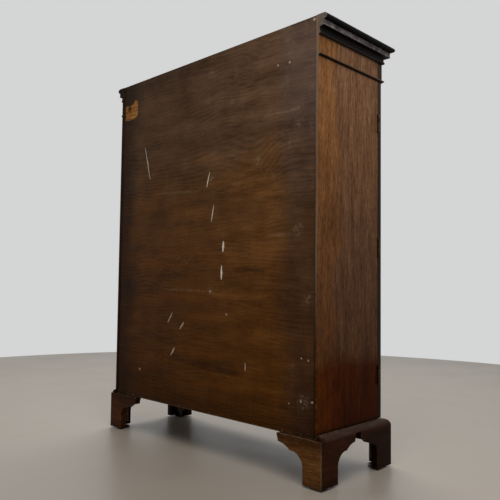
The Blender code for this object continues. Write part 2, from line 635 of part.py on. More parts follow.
def slide_bolt(axis, brass):
    """A bolt in a slotted guide on the back of the left door. It slides up behind the frieze rail."""
    middle = -MEET_X - STILE / 2
    near = Y_DOOR_BACK + FIT
    far = near + GUIDE_DEPTH
    half, inside = GUIDE_WIDTH / 2, SLIDE_WIDTH / 2 + FIT
    slit = STUD_RADIUS + FIT
    floor, roof = Y_SLIDE - FIT, Y_SLIDE + SLIDE_THICK + FIT
    right = [(slit, far), (slit, roof), (inside, roof), (inside, floor)]
    outline = [(-half, near), (half, near), (half, far)] + right
    outline += [(-x, y) for x, y in reversed(right)] + [(-half, far)]
    outline = [(middle + x, y) for x, y in outline]
    guide_high = DOOR_HIGH - GUIDE_FROM_TOP
    guide_low = guide_high - GUIDE_LENGTH
    seat(prism("left_bolt_guide", outline, "Z", guide_low, guide_high), brass, parent=axis)
    bolt = block("left_bolt", (middle - SLIDE_WIDTH / 2, Y_SLIDE, guide_low - SLIDE_TAIL),
                 (middle + SLIDE_WIDTH / 2, Y_SLIDE + SLIDE_THICK, DOOR_HIGH - SLIDE_TOP_INSET))
    stud_z = (guide_low + guide_high) / 2
    stud = rod("stud", "Y", middle, stud_z, STUD_RADIUS, Y_SLIDE + SLIDE_THICK / 2, far + STUD_OUT)
    seat(carve(bolt, stud, "UNION"), brass, parent=axis)


def build():
    clear_scene()
    oak = finish("polished_oak", (0.115, 0.052, 0.022), 0.38)
    dark_oak = finish("dark_moulding", (0.040, 0.019, 0.010), 0.42)
    inner = finish("inner_oak", (0.130, 0.070, 0.032), 0.60)
    ply = finish("stained_plywood", (0.052, 0.026, 0.012), 0.55)
    pine = finish("glue_block", (0.060, 0.035, 0.018), 0.75)
    glass = finish("glass", (0.80, 0.86, 0.84), 0.05)
    brass = finish("brass", (0.45, 0.30, 0.11), 0.35, 1.0)
    steel = finish("steel", (0.16, 0.15, 0.14), 0.45, 1.0)

    side_board("side_left", -1, oak)
    side_board("side_right", 1, oak)
    carcass_boards(oak, inner, ply)
    list(runs_round("cornice", cornice_profile(), Y_FRIEZE, Y_BACK, dark_oak))
    bead = half_round(FIT, BEAD_REACH, FRIEZE_BOTTOM + BEAD_RISE, BEAD_HEIGHT)
    list(runs_round("bead", bead, Y_FRIEZE, Y_BACK, dark_oak))
    plinth(dark_oak)
    for side, hand in (("left", -1), ("right", 1)):
        rear_bracket(f"back_bracket_{side}", hand, oak)
        foot_inside(f"front_{side}", hand, -1, pine, steel)
        foot_inside(f"rear_{side}", hand, 1, pine, steel)
    doors = {side: door_axis(f"{side}_door_axis", hand) for side, hand in (("left", -1), ("right", 1))}
    door_frame("left", -1, doors["left"], oak, glass)
    door_frame("right", 1, doors["right"], oak, glass)
    hinges(doors, brass)
    lock(doors["right"], steel, brass)
    slide_bolt(doors["left"], brass)


build()
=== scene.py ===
"""Finishes the display cabinet: polished oak, dark mouldings, a stained plywood back, brass and glass."""

import json
import math
import random

import bmesh
import bpy
from mathutils import Matrix, Vector

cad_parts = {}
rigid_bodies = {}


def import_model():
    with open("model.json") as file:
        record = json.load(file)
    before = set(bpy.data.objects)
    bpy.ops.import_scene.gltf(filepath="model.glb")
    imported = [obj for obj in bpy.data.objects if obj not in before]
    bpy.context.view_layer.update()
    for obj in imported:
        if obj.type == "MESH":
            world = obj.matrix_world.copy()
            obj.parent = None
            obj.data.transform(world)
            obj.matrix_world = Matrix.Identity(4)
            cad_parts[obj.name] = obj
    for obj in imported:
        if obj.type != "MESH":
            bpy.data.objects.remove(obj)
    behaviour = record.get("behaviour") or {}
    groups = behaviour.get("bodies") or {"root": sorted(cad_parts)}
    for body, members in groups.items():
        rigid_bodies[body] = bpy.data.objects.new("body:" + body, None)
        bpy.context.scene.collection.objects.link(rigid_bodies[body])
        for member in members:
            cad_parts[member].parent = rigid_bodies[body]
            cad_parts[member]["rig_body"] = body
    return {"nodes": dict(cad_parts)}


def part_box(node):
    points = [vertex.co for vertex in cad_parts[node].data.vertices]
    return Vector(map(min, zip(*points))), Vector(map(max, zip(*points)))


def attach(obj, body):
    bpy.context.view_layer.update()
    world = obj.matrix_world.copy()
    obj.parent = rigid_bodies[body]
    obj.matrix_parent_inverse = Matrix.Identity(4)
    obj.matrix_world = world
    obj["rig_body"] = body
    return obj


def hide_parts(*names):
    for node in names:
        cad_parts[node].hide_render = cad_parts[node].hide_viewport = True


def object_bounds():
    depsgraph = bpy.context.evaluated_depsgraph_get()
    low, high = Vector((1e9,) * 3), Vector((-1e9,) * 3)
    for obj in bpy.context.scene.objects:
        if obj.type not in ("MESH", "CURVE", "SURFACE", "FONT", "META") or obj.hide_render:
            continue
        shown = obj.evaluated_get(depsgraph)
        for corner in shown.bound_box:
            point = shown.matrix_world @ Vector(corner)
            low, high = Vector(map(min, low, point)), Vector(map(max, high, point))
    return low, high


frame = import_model()
cad_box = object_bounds()
SOLIDS = frame["nodes"]

# Camera at the photograph's place
CAMERA_PLACE = Vector((-1.3973, 1.3840, 0.5172))
CAMERA_FORWARD = Vector((0.6969, -0.7151, 0.0545))
CAMERA_ROLL = -0.01235
CAMERA_LENS = 43.36
CAMERA_SENSOR = 36.0

# Floor, walls and lamps
FLOOR_REACH = 2.65
FLOOR_TONE = (0.29, 0.250, 0.208)
WALL_TONE = (0.66, 0.665, 0.665, 1.0)
SKY_TONE = (1.0, 0.985, 0.96, 1.0)
SKY_LEVEL = 0.34
LAMP_PLACE = Vector((-1.05, 1.0, 2.35))
LAMP_AIM = Vector((-0.2, 0.1, 0.8))
LAMP_SIZE = 1.6
LAMP_POWER = 46.0

# Places that the finishes and fittings take from the frame
SIDE_LOW, SIDE_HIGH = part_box("side_left")
CABINET_HEIGHT = SIDE_HIGH.z
SIDE_OUTER = -SIDE_LOW.x
SIDE_INNER = -SIDE_HIGH.x
SIDE_FRONT = SIDE_LOW.y
SIDE_REAR = SIDE_HIGH.y
DOOR_FRONT, DOOR_BACK = (corner.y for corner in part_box("left_hinge_stile"))
PLY_INNER, PLY_FACE = (corner.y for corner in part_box("back_panel"))
PLY_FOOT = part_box("back_panel")[0].z
BEAD_FOOT, BEAD_TOP = (corner.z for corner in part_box("bead_left"))
CORNICE_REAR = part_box("cornice_left")[1].y
PLINTH_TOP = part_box("plinth_left")[1].z
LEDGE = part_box("back_bracket_left")[1].z  # top of the rear brackets
FOOT_SIDE = -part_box("plinth_left")[0].x  # outer faces of the feet
FOOT_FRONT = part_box("plinth_front")[0].y
FOOT_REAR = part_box("back_bracket_left")[1].y

# Members of the cornice, from its top down, and what is worked out from them
ROLL_HEIGHT = 0.0165
FASCIA_HEIGHT = 0.0155
COVE_HEIGHT = 0.0055
FASCIA_TOP = CABINET_HEIGHT - ROLL_HEIGHT
FASCIA_FOOT = FASCIA_TOP - FASCIA_HEIGHT
COVE_FOOT = FASCIA_FOOT - COVE_HEIGHT
NECK_FOOT = BEAD_TOP + 0.0200  # anywhere between bead and cornice
# the bead's face is painted lit brown from here up to BEAD_UPPER, and stays black below, in shade
BEAD_MIDDLE = BEAD_FOOT + 0.0018
BEAD_UPPER = BEAD_TOP + 0.0080
REAR_CUT = CORNICE_REAR - 0.0007  # behind this the mouldings are cut off raw

# Handwork: merging, flat joins, arrises, and width plus depth on the mitres
MERGE = 0.00002
FLAT = math.radians(0.4)
ARRIS = math.radians(28)
SMOOTH = math.radians(52)
LATHE_SIDES = 24
CORNICE_MITRE = cad_box[1].x + cad_box[0].y
PLINTH_MITRE = FOOT_SIDE + FOOT_FRONT
REAR_MITRE = FOOT_SIDE - FOOT_REAR
MITRE_SLACK = 0.0009

# Eased edges
BOARD_EASE = 0.0012
RAIL_EASE = 0.0010
CORNICE_EASE = 0.0007
BAR_EASE = 0.0006
BEAD_EASE = 0.0005
LOCK_EASE = 0.0005
GLIDE_EASE = 0.0004
FITTING_EASE = 0.0003
LEAF_EASE = 0.0002

# Back board: its ragged foot and the tear in its veneer
PLY_STAINED = PLY_INNER + 0.0015  # behind this the sheet is stained
PLY_TEAR = 0.0009
RAG_CUTS = 150
RAG_DEPTH = 0.0026
RAG_MARGIN = 0.0020
RAG_INSIDE = 0.4  # share of the depth on the inner face
TEAR_OUTLINE = (
    (0.4295, 1.1470), (0.4300, 1.0955), (0.3980, 1.0935), (0.3640, 1.0960), (0.3560, 1.1060),
    (0.3550, 1.1300), (0.3575, 1.1560), (0.3720, 1.1620), (0.3850, 1.1490),
)
TEAR_WIDTHS = (0.3425, 0.4350)  # a box round the tear
TEAR_HEIGHTS = (1.0825, 1.1850)
TEAR_SOFT = 0.0025
TEAR_CUTS = 4
TEAR_JITTER = 0.0017

# Small fittings
SCREW_HEAD = 0.0027
SCREW_PROUD = 0.0003
SCREW_SUNK = 0.0004
SLOT_WIDTH = 0.0007
HINGE_SCREW_ACROSS = (SIDE_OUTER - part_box("left_hinge_top_case_leaf")[1].x) / 2
HINGE_SCREW_STEP = 0.018
LOCK_SCREW_INSET = 0.006
PIN_HEAD = 0.0013
PIN_PROUD = 0.0008
PIN_SUNK = 0.0003
SHIELD_PIN_INSET = 0.0035
GUIDE_PIN_INSETS = (0.0026, 0.005)
MOULD_WIDTH = 0.0065
MOULD_FRONT = DOOR_FRONT + 0.0022
MOULD_ROUND = 0.0048
GLASS_GAP = 0.0001
KEY_BOW = (0.0084, 0.0104)
KEY_WIRE = 0.0016
KEY_COLLARS = (  # radius, and distance behind the bow
    (0.0020, 0.0), (0.0032, 0.0008), (0.0034, 0.0018), (0.0027, 0.0026), (0.0024, 0.0034),
    (0.0030, 0.0042), (0.0030, 0.0050), (0.0024, 0.0056),
)
KEY_SHANK = 0.0024
KEY_TIP = 0.0018
KEY_TAPER = 0.0006
KEY_BIT = (0.0024, 0.0050, 0.0066)
KEY_BIT_INSET = 0.0003
KEY_BIT_EASE = 0.0003

UP = Vector((0, 0, 1))
FORWARD = Vector((0, -1, 0))
REARWARD = Vector((0, 1, 0))


# Handwork

def only(piece):
    """Selects one piece alone and makes it the active one."""
    bpy.ops.object.select_all(action="DESELECT")
    piece.select_set(True)
    bpy.context.view_layer.objects.active = piece
    return piece


def linked(name, data):
    """A new object in the scene."""
    thing = bpy.data.objects.new(name, data)
    bpy.context.scene.collection.objects.link(thing)
    return thing


def start(add, **settings):
    """Adds a primitive with nothing else selected."""
    bpy.ops.object.select_all(action="DESELECT")
    add(**settings)
    return bpy.context.object


def shaping(piece):
    """Opens a piece in edit mode with all of it selected."""
    only(piece)
    bpy.ops.object.mode_set(mode="EDIT")
    bpy.ops.mesh.select_all(action="SELECT")


def choose(piece, kind, test):
    """In edit mode, selects the points, edges or faces that pass a test."""
    bpy.ops.mesh.select_mode(type=kind)
    bpy.ops.mesh.select_all(action="DESELECT")
    form = bmesh.from_edit_mesh(piece.data)
    for part in {"VERT": form.verts, "EDGE": form.edges, "FACE": form.faces}[kind]:
        if test(part):
            part.select_set(True)
    bmesh.update_edit_mesh(piece.data)


def pull(y=0.0, z=0.0):
    """Extrudes what is selected."""
    bpy.ops.mesh.extrude_region_move(TRANSFORM_OT_translate={"value": (0.0, y, z)})


def shaped(turn_out=False):
    """Back to object mode, with the faces turned outwards where that is asked."""
    if turn_out:
        bpy.ops.mesh.select_all(action="SELECT")
        bpy.ops.mesh.remove_doubles(threshold=MERGE)
        bpy.ops.mesh.normals_make_consistent(inside=False)
    bpy.ops.object.mode_set(mode="OBJECT")


def settle(piece, name):
    """Puts a piece's place into its mesh."""
    only(piece)
    bpy.ops.object.transform_apply(location=True, rotation=True, scale=True)
    piece.name = name
    piece.data.name = name
    return piece


def block(name, middle, size):
    """A box."""
    return settle(start(bpy.ops.mesh.primitive_cube_add, size=1.0, location=middle, scale=size), name)


def apply(piece, kind, **settings):
    """Adds a modifier and applies it."""
    only(piece)
    change = piece.modifiers.new(kind.lower(), kind)
    for key, value in settings.items():
        setattr(change, key, value)
    bpy.ops.object.modifier_apply(modifier=change.name)
    return piece


def carve(piece, cutter):
    """Cuts a shape out of a piece."""
    apply(piece, "BOOLEAN", operation="DIFFERENCE", object=cutter, solver="EXACT")
    bpy.data.objects.remove(cutter)
    return piece


def unite(pieces, name):
    """Joins pieces into one mesh."""
    only(pieces[0])
    for piece in pieces:
        piece.select_set(True)
    bpy.ops.object.join()
    return settle(pieces[0], name)


def turned(name, *rings):
    """A lathe piece that stands along Z: pairs of radius and height, closed at both ends."""
    radius, height = rings[0]
    piece = start(bpy.ops.mesh.primitive_circle_add, vertices=LATHE_SIDES, radius=radius,
                  fill_type="NGON", location=(0, 0, height))
    settle(piece, name)
    shaping(piece)
    for next_radius, next_height in rings[1:]:
        pull(z=next_height - height)
        growth = next_radius / radius
        bpy.ops.transform.resize(value=(growth, growth, 1), center_override=(0, 0, next_height))
        radius, height = next_radius, next_height
    shaped(turn_out=True)
    return piece


def on_mitre(point):
    """Whether a point lies on the mitre of a moulding or of a rear foot."""
    front = abs(point.x) + point.y
    rear = abs(point.x) - point.y
    gaps = (front - CORNICE_MITRE, front - PLINTH_MITRE, rear - REAR_MITRE)
    return min(abs(gap) for gap in gaps) < MITRE_SLACK


def ease_edges(piece, ease, steps):
    """Rounds a piece's arrises, except on mitres, and marks the rounds as worn."""
    mesh = piece.data
    weights = mesh.attributes.new("bevel_weight_edge", "FLOAT", "EDGE")
    form = bmesh.new()
    form.from_mesh(mesh)
    form.edges.ensure_lookup_table()
    for edge in form.edges:
        sharp = len(edge.link_faces) == 2 and edge.calc_face_angle(0) > ARRIS
        joined = all(on_mitre(point.co) for point in edge.verts)
        weights.data[edge.index].value = 1.0 if sharp and not joined else 0.0
    form.free()
    finish = mesh.materials[0]
    mesh.materials.append(finish)
    apply(piece, "BEVEL", width=ease, segments=steps, limit_method="WEIGHT", material=1,
          use_clamp_overlap=False, loop_slide=True)
    mark_worn(mesh)
    mesh.materials.pop(index=1)
    soften(piece)
    return piece


def mark_worn(mesh):
    """A number on each point: 1 in the middle of a rounded edge, 0 on the faces beside it."""
    plain = set()
    for face in mesh.polygons:
        if face.material_index == 0:
            plain.update(face.vertices)
    values = [0.0 if point.index in plain else 1.0 for point in mesh.vertices]
    worn = mesh.attributes.new("worn", "FLOAT", "POINT")
    worn.data.foreach_set("value", values)
    mesh.polygons.foreach_set("material_index", [0] * len(mesh.polygons))


def soften(piece):
    """Smooth shading that leaves the broad faces flat."""
    only(piece)
    bpy.ops.object.shade_smooth_by_angle(angle=SMOOTH)
    apply(piece, "WEIGHTED_NORMAL", mode="FACE_AREA", weight=60, keep_sharp=True)


def fit(piece, finish, body, slot, *solids):
    """Gives a piece its finish, the body that carries it and the solids that it stands for."""
    piece.data.materials.clear()
    piece.data.materials.append(finish)
    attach(piece, body)
    if solids:
        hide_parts(*solids)
    return piece


def dress(name, finish, slot, ease, steps=3):
    """A copy of a solid with eased edges and its finish, which stands for that solid."""
    solid = SOLIDS[name]
    piece = linked(f"{name}_finished", solid.data.copy())
    piece.data.name = piece.name
    fit(piece, finish, solid["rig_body"], slot, name)
    only(piece)
    if piece.data.has_custom_normals:
        bpy.ops.mesh.customdata_custom_splitnormals_clear()
    shaping(piece)
    bpy.ops.mesh.remove_doubles(threshold=MERGE)
    bpy.ops.mesh.dissolve_limited(angle_limit=FLAT)
    shaped()
    return ease_edges(piece, ease, steps)


# Finishes

UNTINTED = (1.0, 1.0, 1.0, 1.0)
DARKEST = (0.22, 0.20, 0.18)


class Finish:
    """One finish made of nodes. Every pattern reads the piece's own Object coordinates."""

    def __init__(self, name):
        self.material = bpy.data.materials.new(name)
        self.material.use_nodes = True
        self.tree = self.material.node_tree
        self.shader = self.tree.nodes["Principled BSDF"]
        self.place = self.add("ShaderNodeTexCoord").outputs["Object"]
        self.x, self.y, self.z = self.split(self.place)
        self.width = self.math("ABSOLUTE", self.x)
        self.colour = None
        self.flat = self.vector("MULTIPLY", self.place, (1.0, 0.0, 1.0))

    def add(self, kind, **settings):
        """A node with its settings."""
        node = self.tree.nodes.new(kind)
        for key, value in settings.items():
            setattr(node, key, value)
        return node

    def join(self, value, socket):
        """Links an output to a socket, or writes a plain value on it."""
        if isinstance(value, bpy.types.NodeSocket):
            self.tree.links.new(value, socket)
        elif socket.type == "RGBA" and len(value) == 3:
            socket.default_value = (*value, 1.0)
        else:
            socket.default_value = value

    def math(self, kind, first, second=0.0, third=0.0, clamp=False):
        """One sum."""
        node = self.add("ShaderNodeMath", operation=kind, use_clamp=clamp)
        for value, socket in zip((first, second, third), node.inputs):
            self.join(value, socket)
        return node.outputs[0]

    def vector(self, kind, *values, number=False):
        """One sum of places or colours, whose answer is a place or a number."""
        node = self.add("ShaderNodeVectorMath", operation=kind)
        for value, socket in zip(values, node.inputs):
            self.join(value, socket)
        return node.outputs["Value" if number else "Vector"]

    def split(self, place):
        """The three numbers of a place."""
        node = self.add("ShaderNodeSeparateXYZ")
        self.join(place, node.inputs[0])
        return node.outputs

    def product(self, *factors):
        """Several numbers multiplied."""
        total = factors[0]
        for factor in factors[1:]:
            total = self.math("MULTIPLY", total, factor)
        return total

    def most(self, *values):
        """The largest of several numbers."""
        total = values[0]
        for value in values[1:]:
            total = self.math("MAXIMUM", total, value)
        return total

    def sum(self, *pairs):
        """Numbers added up, each with its weight."""
        total = 0.0
        for value, weight in pairs:
            total = self.math("MULTIPLY_ADD", value, weight, total)
        return total

    def wandering(self, value, cloud, amount):
        """A place that a cloud moves to and fro."""
        return self.math("MULTIPLY_ADD", self.math("SUBTRACT", cloud, 0.5), amount, value)

    def wave(self, value, pitch):
        """Ripples from -1 to 1, one for each pitch of the value."""
        return self.math("SINE", self.math("MULTIPLY", value, 2 * math.pi / pitch))

    def cloud(self, scale, detail, rough=0.55, twist=0.0, shift=(0.0, 0.0, 0.0)):
        """Soft noise, about 0.3 to 0.7, with so many features a metre, alike or along each axis."""
        place = self.add("ShaderNodeMapping")
        self.join(self.place, place.inputs["Vector"])
        self.join(scale if isinstance(scale, tuple) else (scale, scale, scale), place.inputs["Scale"])
        self.join(shift, place.inputs["Location"])
        node = self.add("ShaderNodeTexNoise")
        self.join(place.outputs[0], node.inputs["Vector"])
        self.join(1.0, node.inputs["Scale"])
        self.join(detail, node.inputs["Detail"])
        self.join(rough, node.inputs["Roughness"])
        self.join(twist, node.inputs["Distortion"])
        return node.outputs[0]

    def fade(self, value, low, high, first=0.0, last=1.0):
        """Smooth change from first to last as a value goes from low to high."""
        node = self.add("ShaderNodeMapRange", interpolation_type="SMOOTHSTEP")
        for number, socket in zip((value, low, high, first, last), node.inputs):
            self.join(number, socket)
        return node.outputs[0]

    def band(self, value, low, high, soft):
        """1 between two values, with soft ends."""
        rise = self.fade(value, low - soft, low + soft)
        return self.product(rise, self.fade(value, high - soft, high + soft, 1.0, 0.0))

    def ramp(self, value, *stops):
        """Colours along a value: pairs of place and colour, in order."""
        node = self.add("ShaderNodeValToRGB")
        band = node.color_ramp
        for number, (place, colour) in enumerate(stops):
            stop = band.elements[number] if number < 2 else band.elements.new(place)
            stop.position = place
            stop.color = (*colour, 1.0)
        self.join(value, node.inputs[0])
        return node.outputs["Color"]

    def by_height(self, level, *stops):
        """Colours by height in metres."""
        share = self.math("DIVIDE", level, CABINET_HEIGHT)
        return self.ramp(share, *((height / CABINET_HEIGHT, colour) for height, colour in stops))

    def blend(self, share, first, second, kind="MIX"):
        """Mixes two colours."""
        node = self.add("ShaderNodeMix", data_type="RGBA", blend_type=kind)
        self.join(share, node.inputs[0])
        self.join(first, node.inputs[6])
        self.join(second, node.inputs[7])
        return node.outputs[2]

    def paint(self, share, colour):
        """Lays a colour over the finish, in part."""
        self.colour = self.blend(share, self.colour, colour)

    def shade(self, share, factor):
        """Multiplies the finish by a grey or tinted factor, in part."""
        self.colour = self.blend(share, self.colour, factor, "MULTIPLY")

    def swing(self, colour, figure, gain):
        """A colour that gets lighter and darker with a figure around 0.5, by a gain for each channel."""
        offset = self.math("SUBTRACT", figure, 0.5)
        factor = self.vector("MULTIPLY_ADD", offset, gain, (1.0, 1.0, 1.0))
        return self.blend(1.0, colour, self.vector("MAXIMUM", factor, DARKEST), "MULTIPLY")

    def mark(self, name):
        """A number kept on the mesh."""
        return self.add("ShaderNodeAttribute", attribute_name=name).outputs["Fac"]

    def upward(self, low=0.75, high=0.97):
        """1 on faces that look up."""
        normal = self.add("ShaderNodeNewGeometry").outputs["Normal"]
        return self.fade(self.split(normal)[2], low, high)

    def near(self, x, z, radius, soft):
        """1 near a point of the back, 0 beyond the radius."""
        gap = self.vector("SUBTRACT", self.flat, (x, 0.0, z))
        return self.fade(self.vector("LENGTH", gap, number=True), radius * soft, radius, 1.0, 0.0)

    def stroke(self, start_at, end_at, half_width, strength=1.0, *, soft):
        """Strength along a straight stroke on the back, thinner at its ends, and 0 beside it."""
        first = Vector((start_at[0], 0.0, start_at[1]))
        run = Vector((end_at[0], 0.0, end_at[1])) - first
        gap = self.vector("SUBTRACT", self.flat, tuple(first))
        share = self.vector("DOT_PRODUCT", gap, tuple(run / run.length_squared), number=True)
        share = self.math("ADD", share, 0.0, clamp=True)
        left = self.vector("SUBTRACT", gap, self.vector("MULTIPLY", share, tuple(run)))
        aside = self.vector("LENGTH", left, number=True)
        from_middle = self.math("SUBTRACT", share, 0.5)
        thinner = self.math("MULTIPLY_ADD", self.product(from_middle, from_middle), 3.2, 0.8)
        aside = self.product(aside, thinner)
        return self.fade(aside, half_width * soft, half_width * (2 - soft), strength, 0.0)

    def spots(self, rows, soft):
        """1 near any of several points of the back."""
        return self.most(*(self.near(*row, soft) for row in rows))

    def strokes(self, rows, soft):
        """The strongest of several strokes on the back."""
        return self.most(*(self.stroke(*row, soft=soft) for row in rows))

    def shake(self, scale, amount):
        """Moves the places of later marks on the back to and fro."""
        node = self.add("ShaderNodeTexNoise")
        self.join(self.flat, node.inputs["Vector"])
        self.join(scale, node.inputs["Scale"])
        offset = self.vector("SUBTRACT", node.outputs["Color"], (0.5, 0.5, 0.5))
        self.flat = self.vector("MULTIPLY_ADD", offset, (amount, 0.0, amount), self.flat)

    def relief(self, height, depth, strength):
        """Bump from a height between 0 and 1."""
        node = self.add("ShaderNodeBump")
        self.join(strength, node.inputs["Strength"])
        self.join(depth, node.inputs["Distance"])
        self.join(height, node.inputs["Height"])
        self.join(node.outputs[0], self.shader.inputs["Normal"])

    def done(self, rough, **plain):
        """Joins the colour and roughness, and writes plain numbers on the shader."""
        self.join(self.colour, self.shader.inputs["Base Color"])
        self.join(rough, self.shader.inputs["Roughness"])
        for name, value in plain.items():
            self.join(value, self.shader.inputs[name.replace("_", " ")])
        return self.material

    def polish(self, rough, height, least, depth, bump, gloss, tint=UNTINTED):
        """Ends a wood finish: relief from its height, roughness above a least value, and gloss."""
        self.relief(height, depth, bump)
        rough = self.math("ADD", rough, least)
        return self.done(rough, Specular_IOR_Level=gloss, Specular_Tint=tint)


# What all the woods share
VARNISH = (1.0, 0.58, 0.25, 1.0)
RAW_EDGE = (0.19, 0.105, 0.046)
DUST = (0.20, 0.165, 0.13)
SOOT = (0.30, 0.24, 0.20)
PORE_SHADE = (0.34, 0.28, 0.25)
RAY_LIGHT = (1.9, 2.0, 2.1)


def grained(grain, across, along):
    """So many features a metre across and along the grain."""
    return tuple(along if axis == grain else across for axis in "XYZ")


def timber(coat, grain, stain, pore, fleck, wear=0.6, dust=0.35, soot=0.3):
    """Wood of one stain: growth bands, streaks, pores, ray flecks, patina, worn edges and dust.

    Gives its roughness before the gloss is set, and the height of its relief."""
    growth = coat.cloud(grained(grain, 11.0, 0.8), 2.0, 0.5, 0.3)
    bands = coat.wave(growth, 0.042)
    streaks = coat.cloud(grained(grain, 190.0, 42.0), 4.0, 0.72, 0.4)
    broad = coat.cloud(grained(grain, 60.0, 5.0), 3.0, 0.6)
    figure = coat.sum((bands, 0.032), (streaks, 0.64), (broad, 0.36))
    coat.colour = coat.swing(stain, figure, (3.4, 3.7, 4.0))
    pores = coat.fade(coat.cloud(grained(grain, 900.0, 26.0), 2.0, 0.5), 0.56, 0.66)
    coat.shade(coat.math("MULTIPLY", pores, pore), PORE_SHADE)
    rays = coat.cloud(grained(grain, 75.0, 200.0), 2.0, 0.55, 1.8)
    rays = coat.product(coat.fade(rays, 0.57, 0.68), coat.fade(broad, 0.40, 0.60), fleck)
    coat.shade(rays, RAY_LIGHT)
    patina = coat.cloud(5.5, 4.0, 0.6)
    coat.shade(coat.fade(patina, 0.42, 0.66, 0.0, soot), SOOT)
    chafed = coat.fade(coat.cloud(85.0, 4.0, 0.65), 0.42, 0.60)
    worn = coat.product(coat.mark("worn"), chafed, wear)
    coat.paint(worn, RAW_EDGE)
    specks = coat.fade(coat.cloud(38.0, 5.0, 0.7), 0.38, 0.68)
    dusty = coat.product(coat.upward(), specks, dust)
    coat.paint(dusty, DUST)
    rough = coat.sum((coat.fade(patina, 0.30, 0.70), 0.14), (pores, 0.12), (worn, 0.25), (dusty, 0.55))
    height = coat.sum((streaks, 0.6), (pores, -0.55))
    return rough, height


# Stains: light reflected, for red, green and blue
# Colours of the sides by height, with painted light in them: painted shade at the foot, a painted greyish
# reflection in the middle, painted light above
SIDE_TONES_AND_LIGHT = (
    (0.15, (0.037, 0.0062, 0.0008)), (0.29, (0.047, 0.0088, 0.0010)), (0.33, (0.079, 0.0325, 0.0142)),
    (0.50, (0.095, 0.0430, 0.0205)), (0.68, (0.120, 0.0560, 0.0275)), (0.84, (0.157, 0.0740, 0.0340)),
    (1.05, (0.182, 0.0890, 0.0435)),
)
OAK_STAIN = (0.110, 0.0440, 0.0170)
INNER_STAIN = (0.130, 0.0640, 0.0260)
BLACK_STAIN = (0.0052, 0.0036, 0.0030)
# grey of the fascia: partly wear, partly painted sheen
FASCIA_GREY_AND_SHEEN = (0.145, 0.1250, 0.1220)
# the neck painted lighter, as lit, than the black cove above it
LIT_NECK_TONE = (0.0150, 0.0115, 0.0110)
RAW_MOULDING = (0.105, 0.0800, 0.0610)
PLINTH_STAIN = (0.0280, 0.0070, 0.0016)
BRACKET_STAIN = (0.112, 0.0460, 0.0135)
FAR_BRACKET_STAIN = (0.050, 0.0150, 0.0050)
# painted greyish sheen on top of the bullnose
PAINTED_BULLNOSE_SHEEN = (0.038, 0.0260, 0.0210)
# painted light on the upper face of the bead
LIT_BEAD_TONE = (0.060, 0.0370, 0.0230)
PINE_STAIN = (0.080, 0.0460, 0.0240)
LIP_LOW = (0.014, 0.0070, 0.0035)
LIP_HIGH = (0.120, 0.0860, 0.0640)
LIP_FAR = (0.018, 0.0120, 0.0090)
# painted shade in the rebate beside the back board
PAINTED_REBATE_SHADE = (0.014, 0.0085, 0.0060)
# pale chips on the fascia, partly painted highlights
FASCIA_CHIPS_AND_HIGHLIGHTS = (0.30, 0.265, 0.260)
BARE_CORNER = (0.145, 0.090, 0.048)
CRUMB = (0.26, 0.19, 0.125)

# Tints and shades that multiply a stain
AMBER = (1.20, 1.06, 0.76)
LOW_AMBER = (1.45, 2.1, 1.8)
# painted shadow under the bead and painted shade just above the plinth, on the sides
PAINTED_SHADE_AT_MOULDINGS = (0.16, 0.11, 0.09)
DOOR_EDGE_SHADE = (0.06, 0.05, 0.05)
# painted shade, with darker sawn wood, on the inner and cut faces of plinth and brackets
SAWN_SHADE = (0.20, 0.17, 0.16)
FORWARD_SHADE = (0.30, 0.22, 0.18)
FOOT_SHADE = (0.26, 0.22, 0.20)


